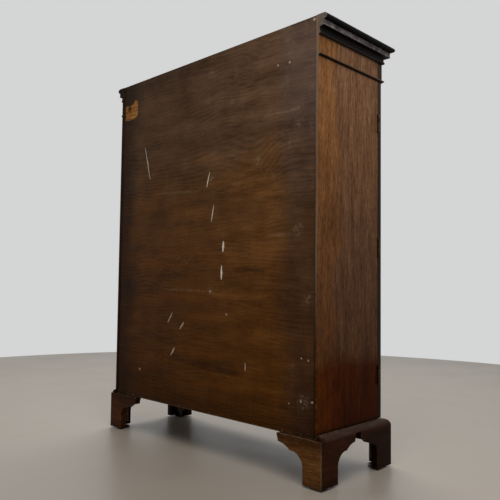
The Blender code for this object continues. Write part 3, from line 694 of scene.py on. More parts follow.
def side_oak():
    """Polished sides whose colour by height holds painted light: deep red with painted shade at the foot,
    greyer in the middle from a painted reflection, lighter amber above; a raw lip at the rear, painted
    shadow under the bead, painted shade above the plinth and in the rebate beside the back.
    """
    coat = Finish("side_oak")
    drift = coat.cloud(6.0, 3.0)
    level = coat.wandering(coat.z, drift, 0.09)
    outer = coat.fade(coat.width, SIDE_INNER + 0.0004, SIDE_INNER + 0.0008)
    # the colour by height carries painted shade low and a painted reflection and light higher up
    stain = coat.blend(outer, INNER_STAIN, coat.by_height(level, *SIDE_TONES_AND_LIGHT))
    rough, height = timber(coat, "Z", stain, pore=0.45, fleck=0.45, soot=0.25)
    toward_rear = coat.sum((drift, 0.12), (coat.y, 1.0))
    amber = coat.product(coat.fade(toward_rear, 0.120, 0.158), outer)
    coat.shade(amber, AMBER)
    low = coat.fade(coat.z, 0.24, 0.34, 1.0, 0.0)
    low_amber = coat.product(coat.fade(toward_rear, 0.11, 0.20), outer, low)
    coat.shade(low_amber, LOW_AMBER)
    # painted shadow under the bead and painted shade on the side just above the plinth
    gap = coat.math("ABSOLUTE", coat.math("SUBTRACT", coat.z, BEAD_FOOT - 0.0008))
    painted_shadow_under_bead = coat.fade(gap, 0.0008, 0.0028, 0.7, 0.0)
    painted_shade_over_plinth = coat.fade(coat.z, PLINTH_TOP, PLINTH_TOP + 0.0140, 0.80, 0.0)
    coat.shade(coat.most(painted_shadow_under_bead, painted_shade_over_plinth), PAINTED_SHADE_AT_MOULDINGS)
    chipped = coat.fade(coat.cloud(60.0, 4.0, 0.7), 0.36, 0.56, 0.35, 0.85)
    far = coat.fade(coat.x, -0.10, 0.10)
    chipped = coat.most(chipped, coat.fade(coat.z, 0.80, 1.05, 0.0, 0.90), far)
    lip = coat.product(coat.fade(coat.y, SIDE_REAR - 0.0016, SIDE_REAR - 0.0004), chipped)
    lip_tone = coat.blend(coat.fade(coat.z, 0.30, 0.62), LIP_LOW, LIP_HIGH)
    lip_tone = coat.blend(far, lip_tone, LIP_FAR)
    coat.paint(lip, lip_tone)
    # painted shade in the rebate beside the back board, weaker high up on the near side
    beside_back = coat.fade(coat.width, SIDE_OUTER - 0.0070, SIDE_OUTER - 0.0040, 0.9, 0.0)
    shaded = coat.most(coat.fade(coat.z, 0.75, 1.05, 1.0, 0.20), far)
    behind = coat.fade(coat.y, PLY_FACE - 0.0020, PLY_FACE - 0.0008)
    rebate_shade = coat.product(beside_back, shaded, behind)
    coat.paint(rebate_shade, PAINTED_REBATE_SHADE)
    top_end = coat.fade(coat.z, CABINET_HEIGHT - 0.0016, CABINET_HEIGHT - 0.0006, 0.0, 0.75)
    coat.shade(top_end, SOOT)
    rough = coat.sum((lip, 0.35), (rough, 1.0))
    return coat.polish(rough, height, least=0.22, depth=0.00018, bump=0.55, gloss=0.024, tint=VARNISH)


def polished_oak(name, grain):
    """Doors and frieze: polished oak, near black on the outer edges of the doors."""
    coat = Finish(name)
    rough, height = timber(coat, grain, OAK_STAIN, pore=0.45, fleck=0.30)
    outer = coat.fade(coat.width, SIDE_OUTER - 0.0014, SIDE_OUTER - 0.0006)
    ahead = coat.fade(coat.y, SIDE_FRONT - 0.0002, SIDE_FRONT + 0.0006, 1.0, 0.0)
    edge = coat.product(outer, ahead, coat.fade(coat.z, 0.65, 1.00, 1.0, 0.80))
    coat.shade(edge, DOOR_EDGE_SHADE)
    return coat.polish(rough, height, least=0.24, depth=0.00018, bump=0.55, gloss=0.08, tint=VARNISH)


def dark_moulding(name, grain, rubbing_and_sheen):
    """Cornice and bead: near black polish; a grey fascia, partly worn and partly painted sheen, with pale
    chips that are partly painted highlights; a neck painted lighter, as lit, below the black cove; the
    upper face of the bead painted lit brown; raw wood where the rear is cut off.
    """
    coat = Finish(name)
    blotch = coat.cloud(grained(grain, 110.0, 34.0), 5.0, 0.75)
    rear = coat.fade(coat.y, REAR_CUT, REAR_CUT + 0.0005)
    cut = coat.product(rear, 0.85)
    fascia = coat.band(coat.z, FASCIA_FOOT + 0.0008, FASCIA_TOP - 0.0008, 0.0006)
    fascia = coat.product(fascia, coat.math("SUBTRACT", 1.0, rear))
    # the grey fascia in blotches: partly worn grey, partly painted sheen
    rubbed_and_sheen = coat.product(fascia, coat.fade(blotch, 0.34, 0.64, 0.22, 1.0), rubbing_and_sheen)
    # the neck painted lighter, as lit, than the black cove above it
    neck = coat.band(coat.z, NECK_FOOT, COVE_FOOT, 0.0006)
    stain = coat.blend(neck, BLACK_STAIN, LIT_NECK_TONE)
    stain = coat.blend(rubbed_and_sheen, stain, FASCIA_GREY_AND_SHEEN)
    # the bead's upper face painted lit brown; below BEAD_MIDDLE it stays black, in shade
    stain = coat.blend(coat.band(coat.z, BEAD_MIDDLE, BEAD_UPPER, 0.0005), stain, LIT_BEAD_TONE)
    rough, height = timber(coat, grain, stain, pore=0.4, fleck=0.10, wear=0.16, dust=0.10, soot=0.2)
    # pale chips on the fascia, partly painted highlights
    chips = coat.fade(coat.cloud(grained(grain, 75.0, 110.0), 4.0, 0.7), 0.53, 0.62)
    coat.paint(coat.product(chips, fascia, 0.6 * rubbing_and_sheen), FASCIA_CHIPS_AND_HIGHLIGHTS)
    far_side = coat.fade(coat.x, -0.10, 0.10, 1.0, 0.08)
    raw = coat.swing(RAW_MOULDING, coat.cloud(240.0, 4.0, 0.65), (2.4, 2.4, 2.4))
    coat.paint(coat.product(cut, far_side), raw)
    rough = coat.sum((rubbed_and_sheen, 0.22), (cut, 0.35), (rough, 1.0))
    return coat.polish(rough, height, least=0.30, depth=0.00020, bump=0.55, gloss=0.05)


def base_oak(name, grain, stain, ledge_dust=0.0, sawn_shade=0.9):
    """Plinth and brackets: dark polish with a painted greyish sheen on top of its round edge, darker sawn
    faces that also carry painted shade, and raw along the rear corner.
    """
    coat = Finish(name)
    rough, height = timber(coat, grain, stain, pore=0.45, fleck=0.15, wear=0.5, dust=0.25)
    # a painted greyish sheen, in patches, on the upward face of the bullnose
    rubbed_and_sheen = coat.cloud(grained(grain, 55.0, 12.0), 4.0, 0.7)
    rubbed_and_sheen = coat.fade(rubbed_and_sheen, 0.38, 0.62, 0.35, 0.95)
    high = coat.fade(coat.z, PLINTH_TOP - 0.0340, PLINTH_TOP - 0.0100)
    painted_round_sheen = coat.product(coat.upward(0.05, 0.70), high, rubbed_and_sheen)
    behind = coat.math("SUBTRACT", FOOT_REAR, coat.y)
    on_side = coat.fade(behind, 0.0190, 0.0215)
    coat.paint(coat.product(painted_round_sheen, on_side), PAINTED_BULLNOSE_SHEEN)
    toward = coat.math("SUBTRACT", FOOT_SIDE, coat.width)
    ahead = coat.math("SUBTRACT", coat.y, FOOT_FRONT)
    # darker sawn wood and painted shade on the inner and cut faces below the ledge
    sawn = [coat.fade(depth, 0.0020, 0.0030) for depth in (behind, toward, ahead)]
    sawn = coat.product(*sawn, coat.fade(coat.z, LEDGE - 0.0037, LEDGE - 0.0007, sawn_shade, 0.0))
    coat.shade(sawn, SAWN_SHADE)
    forward_end = coat.fade(ahead, 0.060, 0.180, 0.80, 0.0)
    side_face = coat.fade(toward, 0.0008, 0.0020, 1.0, 0.0)
    below_round = coat.fade(coat.z, PLINTH_TOP - 0.0280, PLINTH_TOP - 0.0160, 1.0, 0.0)
    coat.shade(coat.product(forward_end, side_face, below_round), FORWARD_SHADE)
    square = coat.sum((coat.product(toward, toward), 1.0), (coat.product(behind, behind), 1.0))
    corner = coat.math("SQRT", square)
    ragged = coat.fade(coat.cloud(120.0, 4.0, 0.7), 0.35, 0.65, 0.0004, 0.0038)
    bare = coat.fade(coat.math("SUBTRACT", corner, ragged), -0.0008, 0.0008, 0.75, 0.0)
    coat.paint(bare, BARE_CORNER)
    crumbs = coat.fade(coat.cloud(150.0, 4.0, 0.75), 0.48, 0.62)
    jagged = coat.cloud((95.0, 95.0, 20.0), 4.0, 0.75)
    jagged = coat.sum((coat.fade(jagged, 0.35, 0.65), 0.0045), (coat.z, 1.0))
    ledge = coat.fade(jagged, LEDGE + 0.0004, LEDGE + 0.0016)
    rearmost = coat.fade(coat.y, FOOT_REAR - 0.0090, FOOT_REAR - 0.0065)
    crumbs = coat.product(crumbs, ledge, rearmost, ledge_dust)
    coat.paint(crumbs, CRUMB)
    foot = coat.fade(coat.z, 0.006, 0.040, 0.55, 0.0)
    under_back = coat.fade(coat.z, LEDGE - 0.0417, LEDGE - 0.0057, 0.0, 0.75)
    under_back = coat.product(under_back, coat.fade(coat.y, FOOT_REAR - 0.0140, FOOT_REAR - 0.0090))
    coat.shade(coat.most(foot, under_back), FOOT_SHADE)
    rough = coat.sum((coat.most(bare, crumbs), 0.3), (rough, 1.0))
    return coat.polish(rough, height, least=0.32, depth=0.00022, bump=0.6, gloss=0.05, tint=VARNISH)


def inner_oak(name, grain):
    """Shelves and boards inside the case: matt, with a little dust."""
    coat = Finish(name)
    rough, height = timber(coat, grain, INNER_STAIN, pore=0.45, fleck=0.25, dust=0.30)
    return coat.polish(rough, height, least=0.48, depth=0.00022, bump=0.6, gloss=0.25)


def glue_pine():
    """Rough sawn corner blocks, dusty and stained."""
    coat = Finish("glue_pine")
    rough, height = timber(coat, "Z", PINE_STAIN, pore=0.25, fleck=0.0, dust=0.6, soot=0.6)
    height = coat.sum((coat.wave(coat.z, 0.0027), 0.25), (height, 1.0))
    return coat.polish(rough, height, least=0.68, depth=0.0005, bump=0.7, gloss=0.2)


# Marks on the back: places are width and height in metres, then half width or radius, then strength
CHALK_STROKES = (
    ((-0.0302, 0.8528), (-0.0168, 0.8089), 0.0016, 0.85),
    ((-0.0497, 0.7503), (-0.0412, 0.7015), 0.0015, 0.68),
    ((-0.0949, 0.6381), (-0.0949, 0.6100), 0.0031, 0.95),
    ((-0.0888, 0.5661), (-0.0888, 0.5283), 0.0025, 1.00),
    ((-0.1924, 0.2900), (-0.1924, 0.2690), 0.0017, 0.40),
    ((0.1406, 0.4172), (0.1613, 0.3867), 0.0016, 0.44),
    ((0.0820, 0.3928), (0.0991, 0.3684), 0.0017, 0.56),
    ((0.1247, 0.3074), (0.1430, 0.2830), 0.0022, 0.54),
    ((0.3065, 0.9784), (0.2736, 0.8662), 0.0017, 0.55),
)
PALE_SPECKS = (
    (-0.3059, 1.1187, 0.0040), (-0.3486, 1.1187, 0.0050), (-0.3975, 0.3222, 0.0035),
    (-0.4197, 0.3203, 0.0035), (-0.3963, 0.2133, 0.0045), (-0.4336, 0.2154, 0.0050),
    (-0.3557, 0.2022, 0.0030), (0.3102, 0.2196, 0.0060), (-0.1132, 0.4246, 0.0045),
    (-0.4330, 1.2120, 0.0050), (-0.0400, 0.4904, 0.0048),
)
SCUFF_STARS = (
    (-0.0400, 0.4904, 0.020), (-0.3754, 0.9821, 0.026), (-0.3815, 0.6588, 0.028),
    (-0.0300, 1.1610, 0.024), (-0.4050, 0.2135, 0.030), (-0.2300, 0.8600, 0.030),
    (-0.0176, 1.0789, 0.020), (-0.1206, 1.0578, 0.020), (-0.3830, 0.9455, 0.022),
    (-0.3680, 0.3030, 0.012), (-0.4160, 0.4777, 0.020), (-0.0364, 0.8294, 0.022),
)
PALE_STREAKS = (
    ((0.1797, 0.4935), (-0.0522, 0.4905), 0.0030), ((-0.2717, 0.6500), (-0.3876, 0.6480), 0.0035),
    ((-0.2600, 0.9850), (-0.3800, 0.9830), 0.0030), ((0.2400, 0.8120), (0.0300, 0.8000), 0.0030),
)
DARK_STREAKS = (
    ((-0.1437, 0.5545), (-0.2000, 0.5555), 0.0060), ((-0.2000, 0.5555), (-0.2596, 0.5500), 0.0050),
    ((0.2300, 0.5360), (0.0500, 0.5340), 0.0090, 0.45),
    ((0.1469, 0.2760), (-0.1607, 0.2538), 0.0090, 0.70),
)
SWEEPS = (
    ((0.1100, 0.2330), (-0.1000, 0.2120), 0.0110), ((-0.0800, 0.2150), (-0.3300, 0.2350), 0.0130),
    ((0.0300, 0.2500), (-0.2300, 0.2380), 0.0080), ((-0.0538, 0.4800), (-0.2663, 0.4816), 0.0080),
    ((-0.1400, 0.8050), (-0.3200, 0.8150), 0.0100), ((-0.1200, 0.7600), (-0.3300, 0.7650), 0.0090),
)
DARK_STAINS = (
    (0.2160, 0.7500, 0.085), (0.0900, 1.1000, 0.100), (-0.0700, 0.2500, 0.120), (0.3300, 0.5200, 0.120),
)
TEAR_KNOT = (0.4060, 1.1370, 0.017)
SWIRLS = ((-0.2050, 0.8600, 0.150), (-0.1900, 0.7250, 0.110), (0.1500, 0.5600, 0.140))
SWIRL_LIFT = 0.045

# Colours of the back by height, with painted light in them, of its torn veneer and of its marks
BACK_TONES_AND_LIGHT = (
    (0.14, (0.060, 0.0200, 0.0026)), (0.24, (0.076, 0.0262, 0.0042)), (0.42, (0.084, 0.0305, 0.0060)),
    (0.66, (0.093, 0.0375, 0.0104)), (0.83, (0.089, 0.0380, 0.0122)), (0.94, (0.079, 0.0405, 0.0200)),
    (1.12, (0.076, 0.0405, 0.0215)),
)
NEAR_EDGE_STAINS = (
    (0.30, (0.026, 0.0130, 0.0090)), (0.66, (0.024, 0.0140, 0.0100)), (0.80, (0.050, 0.0335, 0.0265)),
    (0.95, (0.066, 0.0440, 0.0360)),
)
TEAR_STAINS = (
    (0.30, (0.080, 0.0290, 0.0070)), (0.48, (0.200, 0.0830, 0.0210)), (0.66, (0.310, 0.1500, 0.0520)),
)
KNOT_STAIN = (0.030, 0.0085, 0.0030)
PLY_STAIN = (0.095, 0.0420, 0.0145)
SCUFF = (0.21, 0.150, 0.092)
SPECK = (0.34, 0.26, 0.18)
CHALK = (0.78, 0.69, 0.57)
MARGIN_SHADE = (0.34, 0.29, 0.28)
STREAK_SHADE = (0.30, 0.25, 0.21)
SWEEP_LIGHT = (1.50, 1.55, 1.45)
FAR_SHADE = (0.70, 0.66, 0.60)
TOP_SHADE = (0.45, 0.42, 0.42)


def stained_plywood():
    """The back: level, wavy figure under a worn brown stain whose colour by height holds painted light,
    greyer and lighter above and darker low as painted shade, with chalk, scuffs and torn veneer.
    """
    coat = Finish("stained_plywood")
    drift = coat.cloud((1.7, 1.0, 4.2), 2.0, 0.45, 0.5)
    fibre = coat.cloud((24.0, 40.0, 330.0), 4.0, 0.7)
    broad = coat.cloud((3.5, 4.0, 19.0), 4.0, 0.6)
    blotch = coat.cloud(13.0, 4.0, 0.62)
    rings = coat.sum((drift, 0.14), (fibre, 0.006), (broad, 0.014), (coat.z, 1.0))
    for swirl in SWIRLS:
        rings = coat.math("MULTIPLY_ADD", coat.near(*swirl, 0.0), SWIRL_LIFT, rings)
    shown = coat.fade(coat.cloud((2.2, 2.0, 6.0), 3.0, shift=(3.1, 0.0, 0.0)), 0.36, 0.60)
    lines = coat.product(coat.wave(rings, 0.0125), shown)
    fine = coat.product(coat.wave(rings, 0.0046), coat.fade(broad, 0.35, 0.65))
    figure = coat.sum((lines, 0.032), (fine, 0.018), (fibre, 0.34), (broad, 0.42), (blotch, 0.24))
    wander = coat.cloud(4.5, 4.0, 0.6)
    level = coat.wandering(coat.z, wander, 0.30)
    # the colour by height carries painted light: greyer and lighter above, painted shade low
    coat.colour = coat.swing(coat.by_height(level, *BACK_TONES_AND_LIGHT), figure, (4.1, 4.4, 4.8))
    across = coat.wandering(coat.x, wander, 0.16)
    near_edge = coat.fade(across, -0.385, -0.295, 0.62, 0.0)
    edge_stain = coat.by_height(level, *NEAR_EDGE_STAINS)
    coat.paint(near_edge, coat.swing(edge_stain, figure, (3.6, 3.6, 3.6)))
    far_edge = coat.fade(across, 0.31, 0.41, 0.0, 0.92)
    # painted shade low on the back; darker along the far edge
    foot = coat.fade(coat.sum((wander, 0.10), (coat.z, 1.0)), 0.19, 0.27, 0.45, 0.0)
    coat.shade(coat.most(far_edge, foot), MARGIN_SHADE)
    blot = coat.product(coat.spots(DARK_STAINS, 0.1), coat.fade(wander, 0.36, 0.60), 0.50)
    streaks = coat.product(coat.strokes(DARK_STREAKS, 0.2), 0.55)
    coat.shade(coat.most(blot, streaks), STREAK_SHADE)
    sweeps = coat.product(coat.strokes(SWEEPS, 0.0), 0.55)
    coat.shade(sweeps, SWEEP_LIGHT)
    coat.shade(coat.fade(across, -0.35, 0.30), FAR_SHADE)
    top_edge = coat.fade(coat.sum((wander, 0.06), (coat.z, 1.0)), 1.150, 1.225, 0.0, 0.50)
    top_edge = coat.product(top_edge, coat.fade(coat.x, -0.32, -0.05, 0.15, 1.0))
    coat.shade(top_edge, TOP_SHADE)
    grit = coat.cloud(420.0, 3.0, 0.7)
    coat.shake(45.0, 0.0065)
    broken = coat.fade(coat.cloud((60.0, 60.0, 220.0), 3.0, 0.7), 0.38, 0.56)
    pale = coat.product(coat.strokes(PALE_STREAKS, 0.1), broken, 0.26)
    ragged = coat.cloud((70.0, 70.0, 95.0), 5.0, 0.75, 1.2)
    stars = coat.product(coat.spots(SCUFF_STARS, 0.0), coat.fade(ragged, 0.46, 0.62), 0.62)
    haze = coat.fade(coat.cloud((14.0, 14.0, 9.0), 6.0, 0.72), 0.53, 0.75, 0.0, 0.30)
    near_side = coat.fade(coat.x, -0.34, -0.20, 1.0, 0.38)
    haze = coat.product(haze, near_side, coat.fade(coat.z, 0.62, 0.86, 0.35, 1.0))
    hairs = coat.cloud((7.0, 7.0, 420.0), 3.0, 0.6, shift=(0.0, 0.0, 2.0))
    upright = coat.cloud((380.0, 9.0, 9.0), 3.0, 0.6, shift=(4.0, 0.0, 0.0))
    hairs = coat.product(coat.fade(coat.most(hairs, upright), 0.63, 0.72), broken, 0.22)
    chips = coat.fade(coat.cloud(75.0, 3.0, 0.7), 0.60, 0.68, 0.0, 0.75)
    chips = coat.product(chips, coat.fade(coat.z, PLY_FOOT + 0.0028, PLY_FOOT + 0.0068, 1.0, 0.0))
    scuffs = coat.most(pale, stars, haze, hairs, chips)
    coat.paint(scuffs, SCUFF)
    coat.shake(230.0, 0.0042)
    specks = coat.product(coat.spots(PALE_SPECKS, 0.4), coat.fade(grit, 0.32, 0.52))
    coat.paint(specks, SPECK)
    chalk = coat.product(coat.strokes(CHALK_STROKES, 0.2), coat.fade(grit, 0.36, 0.54, 0.30, 1.0))
    coat.paint(chalk, CHALK)
    torn = coat.cloud((30.0, 30.0, 160.0), 4.0, 0.65, shift=(0.3, 0.0, 0.0))
    bare = coat.ramp(torn, *TEAR_STAINS)
    bare = coat.blend(coat.product(coat.near(*TEAR_KNOT, 0.25), 0.85), bare, KNOT_STAIN)
    floor = coat.band(coat.y, PLY_FACE - 1.6 * PLY_TEAR, PLY_FACE - 0.4 * PLY_TEAR, 0.0001)
    across_tear = coat.band(coat.x, *TEAR_WIDTHS, TEAR_SOFT)
    inside = coat.product(floor, across_tear, coat.band(coat.z, *TEAR_HEIGHTS, TEAR_SOFT))
    coat.paint(inside, bare)
    plain = coat.swing(PLY_STAIN, figure, (2.7, 3.0, 3.4))
    coat.paint(coat.fade(coat.y, PLY_STAINED, PLY_STAINED + 0.0004, 1.0, 0.0), plain)
    coat.paint(coat.product(coat.upward(), 0.5), DUST)
    rough = coat.fade(broad, 0.30, 0.70, 0.0, 0.12)
    rough = coat.sum((coat.most(chalk, scuffs, inside), 0.30), (rough, 1.0))
    height = coat.sum((fibre, 0.7), (lines, 0.05), (inside, -0.2))
    return coat.polish(rough, height, least=0.40, depth=0.00025, bump=0.6, gloss=0.06, tint=VARNISH)


# Metal and glass
BRASS_CLEAN = (0.42, 0.255, 0.085)
BRASS_BROWN = (0.120, 0.068, 0.027)
HINGE_CLEAN = (0.070, 0.046, 0.024)
HINGE_BROWN = (0.022, 0.015, 0.010)
STEEL_TONES = ((0.080, 0.075, 0.070), (0.170, 0.162, 0.152))
GLIDE_TONES = ((0.024, 0.020, 0.016), (0.066, 0.058, 0.048))
RUST = (0.060, 0.026, 0.012)
CLEAN_GLASS = (0.955, 0.975, 0.965)
SMEARED_GLASS = (0.925, 0.950, 0.940)
GLASS_SHADOW = (0.93, 0.95, 0.94)
GLASS_IOR = 1.25


def old_brass(name, clean, tarnished, share):
    """Brass with brown tarnish in blotches, fine rub marks and brighter edges."""
    coat = Finish(name)
    tarnish = coat.cloud(140.0, 5.0, 0.65)
    rubbing_and_sheen = coat.cloud((260.0, 260.0, 1900.0), 3.0, 0.6)
    brown = coat.fade(tarnish, 0.62 - 0.3 * share, 0.78 - 0.3 * share)
    coat.colour = coat.swing(coat.blend(brown, clean, tarnished), rubbing_and_sheen, (0.8, 0.8, 0.8))
    worn = coat.product(coat.mark("worn"), coat.fade(tarnish, 0.40, 0.60, 0.8, 0.3))
    coat.paint(worn, tuple(1.4 * part for part in clean))
    rough = coat.sum((brown, 0.26), (rubbing_and_sheen, 0.14), (0.20, 1.0))
    coat.relief(rubbing_and_sheen, 0.00006, 0.5)
    return coat.done(rough, Metallic=1.0)


def dull_steel(name, dark, light):
    """Steel gone dull, with specks of rust."""
    coat = Finish(name)
    blotch = coat.cloud(120.0, 5.0, 0.65)
    brushed = coat.cloud((1400.0, 300.0, 300.0), 3.0, 0.6)
    coat.colour = coat.ramp(brushed, (0.30, dark), (0.70, light))
    rust = coat.fade(blotch, 0.56, 0.70, 0.0, 0.75)
    coat.paint(rust, RUST)
    rough = coat.sum((rust, 0.30), (coat.fade(brushed, 0.3, 0.7, 0.32, 0.48), 1.0))
    coat.relief(brushed, 0.00006, 0.5)
    return coat.done(rough, Metallic=1.0)


def clear_glass():
    """Old drawn glass: faint ripples and smears, and it lets the lamps through."""
    coat = Finish("clear_glass")
    smear = coat.cloud((16.0, 16.0, 5.0), 5.0, 0.65)
    ripple = coat.cloud((9.0, 1.0, 3.0), 2.0, 0.5)
    coat.relief(ripple, 0.0006, 0.35)
    coat.colour = coat.ramp(smear, (0.3, CLEAN_GLASS), (0.7, SMEARED_GLASS))
    rough = coat.fade(smear, 0.45, 0.75, 0.0, 0.05)
    material = coat.done(rough, Transmission_Weight=1.0, IOR=GLASS_IOR)
    clear = coat.add("ShaderNodeBsdfTransparent")
    coat.join(GLASS_SHADOW, clear.inputs[0])
    path = coat.add("ShaderNodeLightPath")
    through = coat.most(path.outputs["Is Shadow Ray"], path.outputs["Is Diffuse Ray"])
    mixed = coat.add("ShaderNodeMixShader")
    coat.join(through, mixed.inputs[0])
    coat.join(coat.shader.outputs[0], mixed.inputs[1])
    coat.join(clear.outputs[0], mixed.inputs[2])
    coat.join(mixed.outputs[0], coat.tree.nodes["Material Output"].inputs["Surface"])
    return material


# Studio

def photograph_camera():
    """A camera where the photograph was taken."""
    forward = CAMERA_FORWARD.normalized()
    right = forward.cross(UP).normalized()
    down = forward.cross(right)
    level, tilt = math.cos(CAMERA_ROLL), math.sin(CAMERA_ROLL)
    across = level * right + tilt * down
    upward = tilt * right - level * down
    turn = Matrix((across, upward, -forward)).transposed()
    lens = bpy.data.cameras.new("photograph_view")
    lens.sensor_width = CAMERA_SENSOR
    lens.lens = CAMERA_LENS
    camera = linked("photograph_view", lens)
    camera.matrix_world = Matrix.Translation(CAMERA_PLACE) @ turn.to_4x4()
    bpy.context.scene.camera = camera


def softbox(name, place, aim):
    """A soft lamp that faces a point."""
    light = bpy.data.lights.new(name, "AREA")
    light.shape = "SQUARE"
    light.size = LAMP_SIZE
    light.energy = LAMP_POWER
    lamp = linked(name, light)
    lamp.location = place
    lamp.rotation_euler = (aim - place).to_track_quat("-Z", "Y").to_euler()
    lamp.visible_camera = False


def studio_floor():
    """A pale round floor."""
    floor = start(bpy.ops.mesh.primitive_circle_add, vertices=128, radius=FLOOR_REACH, fill_type="NGON")
    settle(floor, "studio_floor")
    coat = Finish("studio_floor")
    mottle = coat.cloud(3.0, 4.0, 0.6)
    coat.colour = coat.ramp(mottle, (0.3, tuple(0.94 * part for part in FLOOR_TONE)), (0.7, FLOOR_TONE))
    floor.data.materials.append(coat.done(coat.fade(mottle, 0.3, 0.7, 0.34, 0.42)))


def studio_walls():
    """A pale wall all round, seen direct and in gloss and glass, with a weaker light from the sky."""
    world = bpy.data.worlds.new("studio")
    world.use_nodes = True
    bpy.context.scene.world = world
    tree = world.node_tree
    tree.nodes.clear()
    path = tree.nodes.new("ShaderNodeLightPath")
    seen = path.outputs["Is Camera Ray"]
    for ray in ("Is Glossy Ray", "Is Transmission Ray"):
        either = tree.nodes.new("ShaderNodeMath")
        either.operation = "MAXIMUM"
        tree.links.new(seen, either.inputs[0])
        tree.links.new(path.outputs[ray], either.inputs[1])
        seen = either.outputs[0]
    sky = tree.nodes.new("ShaderNodeBackground")
    sky.inputs["Color"].default_value = SKY_TONE
    sky.inputs["Strength"].default_value = SKY_LEVEL
    wall = tree.nodes.new("ShaderNodeBackground")
    wall.inputs["Color"].default_value = WALL_TONE
    mixed = tree.nodes.new("ShaderNodeMixShader")
    tree.links.new(seen, mixed.inputs[0])
    tree.links.new(sky.outputs[0], mixed.inputs[1])
    tree.links.new(wall.outputs[0], mixed.inputs[2])
    out = tree.nodes.new("ShaderNodeOutputWorld")
    tree.links.new(mixed.outputs[0], out.inputs["Surface"])


# Pieces

def back_board(finish):
    """The plywood back, with a ragged lower edge and a shallow tear in its veneer."""
    low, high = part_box("back_panel")
    board = block("back_board", (low + high) / 2, high - low)
    shaping(board)

    def along_foot(edge):
        first, last = (point.co for point in edge.verts)
        return max(first.z, last.z) < low.z + MERGE and abs(first.x - last.x) > MERGE

    choose(board, "EDGE", along_foot)
    bpy.ops.mesh.subdivide(number_cuts=RAG_CUTS)
    chance = random.Random(11)
    rise = {}
    form = bmesh.from_edit_mesh(board.data)
    for point in sorted(form.verts, key=lambda point: (round(point.co.x, 5), point.co.y)):
        place = round(point.co.x, 5)
        inner = min(place - low.x, high.x - place) > RAG_MARGIN
        if point.co.z < low.z + MERGE and inner:
            rise.setdefault(place, RAG_DEPTH * chance.random() ** 3)
            point.co.z += rise[place] * (1.0 if point.co.y > (low.y + high.y) / 2 else RAG_INSIDE)
    bmesh.update_edit_mesh(board.data)
    shaped()
    carve(board, veneer_tear())
    soften(board)
    return fit(board, finish, "carcass", "stained_plywood", "back_panel")


def veneer_tear():
    """The shape of the torn veneer, to be cut out of the back."""
    tear = start(bpy.ops.mesh.primitive_circle_add, vertices=len(TEAR_OUTLINE), fill_type="NGON",
                 rotation=(math.pi / 2, 0, 0))
    settle(tear, "veneer_tear")
    for point, (x, z) in zip(tear.data.vertices, TEAR_OUTLINE):
        point.co = (x, PLY_FACE - PLY_TEAR, z)
    shaping(tear)
    bpy.ops.mesh.select_mode(type="EDGE")
    bpy.ops.mesh.subdivide(number_cuts=TEAR_CUTS)
    bpy.ops.transform.vertex_random(offset=TEAR_JITTER, seed=5)
    bpy.ops.transform.resize(value=(1, 0, 1), center_override=(0, PLY_FACE - PLY_TEAR, 0))
    bpy.ops.mesh.select_mode(type="FACE")
    bpy.ops.mesh.select_all(action="SELECT")
    pull(y=3 * PLY_TEAR)
    shaped(turn_out=True)
    return tear


def slotted_screw():
    """One screw head that faces up, with its slot cut across."""
    screw = turned("slotted_screw", (SCREW_HEAD, -SCREW_SUNK), (SCREW_HEAD, 0.3 * SCREW_PROUD),
                   (0.85 * SCREW_HEAD, 0.8 * SCREW_PROUD), (0.4 * SCREW_HEAD, SCREW_PROUD))
    slot = block("screw_slot", (0, 0, SCREW_PROUD), (3 * SCREW_HEAD, SLOT_WIDTH, 1.6 * SCREW_PROUD))
    return carve(screw, slot)


def round_pin():
    """One round pin head that faces up."""
    return turned("round_pin", (PIN_HEAD, -PIN_SUNK), (PIN_HEAD, 0.25 * PIN_PROUD),
                  (0.8 * PIN_HEAD, 0.75 * PIN_PROUD), (0.4 * PIN_HEAD, PIN_PROUD))


def set_in(model, name, finish, body, facing, places):
    """Copies a screw or pin to several places, each turned by chance, and joins the copies."""
    turn = UP.rotation_difference(facing).to_matrix().to_4x4()
    chance = random.Random(name)
    copies = []
    for place in places:
        piece = linked(name, model.data.copy())
        spin = Matrix.Rotation(chance.uniform(0.0, math.pi), 4, "Z")
        piece.matrix_world = Matrix.Translation(place) @ turn @ spin
        copies.append(piece)
    group = unite(copies, name)
    soften(group)
    return fit(group, finish, body, "brass")


def rear_corners(solid, inset, drop):
    """Four places on the rear face of a fitting, in from its corners."""
    low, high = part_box(solid)
    widths = (low.x + inset, high.x - inset)
    return [Vector((x, high.y, z)) for x in widths for z in (low.z + drop, high.z - drop)]


def door_key(finish):
    """The key: an oval wire bow, a turned shank with collars and a bit."""
    low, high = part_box("key")
    across, level = (low.x + high.x) / 2, (low.z + high.z) / 2
    bow_middle = low.y + KEY_WIRE + KEY_BOW[0]
    mean = sum(KEY_BOW) / 2
    bow = start(bpy.ops.mesh.primitive_torus_add, major_radius=mean, minor_radius=KEY_WIRE,
                major_segments=40, minor_segments=14, location=(across, bow_middle, level),
                rotation=(0, math.pi / 2, 0))
    bow.scale = (KEY_BOW[1] / mean, KEY_BOW[0] / mean, 1.0)
    settle(bow, "key_bow")
    rear = bow_middle + KEY_BOW[0]
    length = high.y - rear
    shank = turned("key_shank", *KEY_COLLARS, (KEY_SHANK, length - KEY_TAPER), (KEY_TIP, length))
    shank.matrix_world = Matrix.Translation((across, rear, level)) @ Matrix.Rotation(-math.pi / 2, 4, "X")
    settle(shank, "key_shank")
    bit_middle = Vector((across, high.y - KEY_BIT_INSET - KEY_BIT[1] / 2, level - KEY_BIT[2] / 2))
    bit = block("key_bit", bit_middle, KEY_BIT)
    shaping(bit)
    bpy.ops.mesh.bevel(offset=KEY_BIT_EASE, segments=2)
    shaped()
    key = unite([bow, shank, bit], "door_key")
    soften(key)
    return fit(key, finish, "key", "brass", "key")


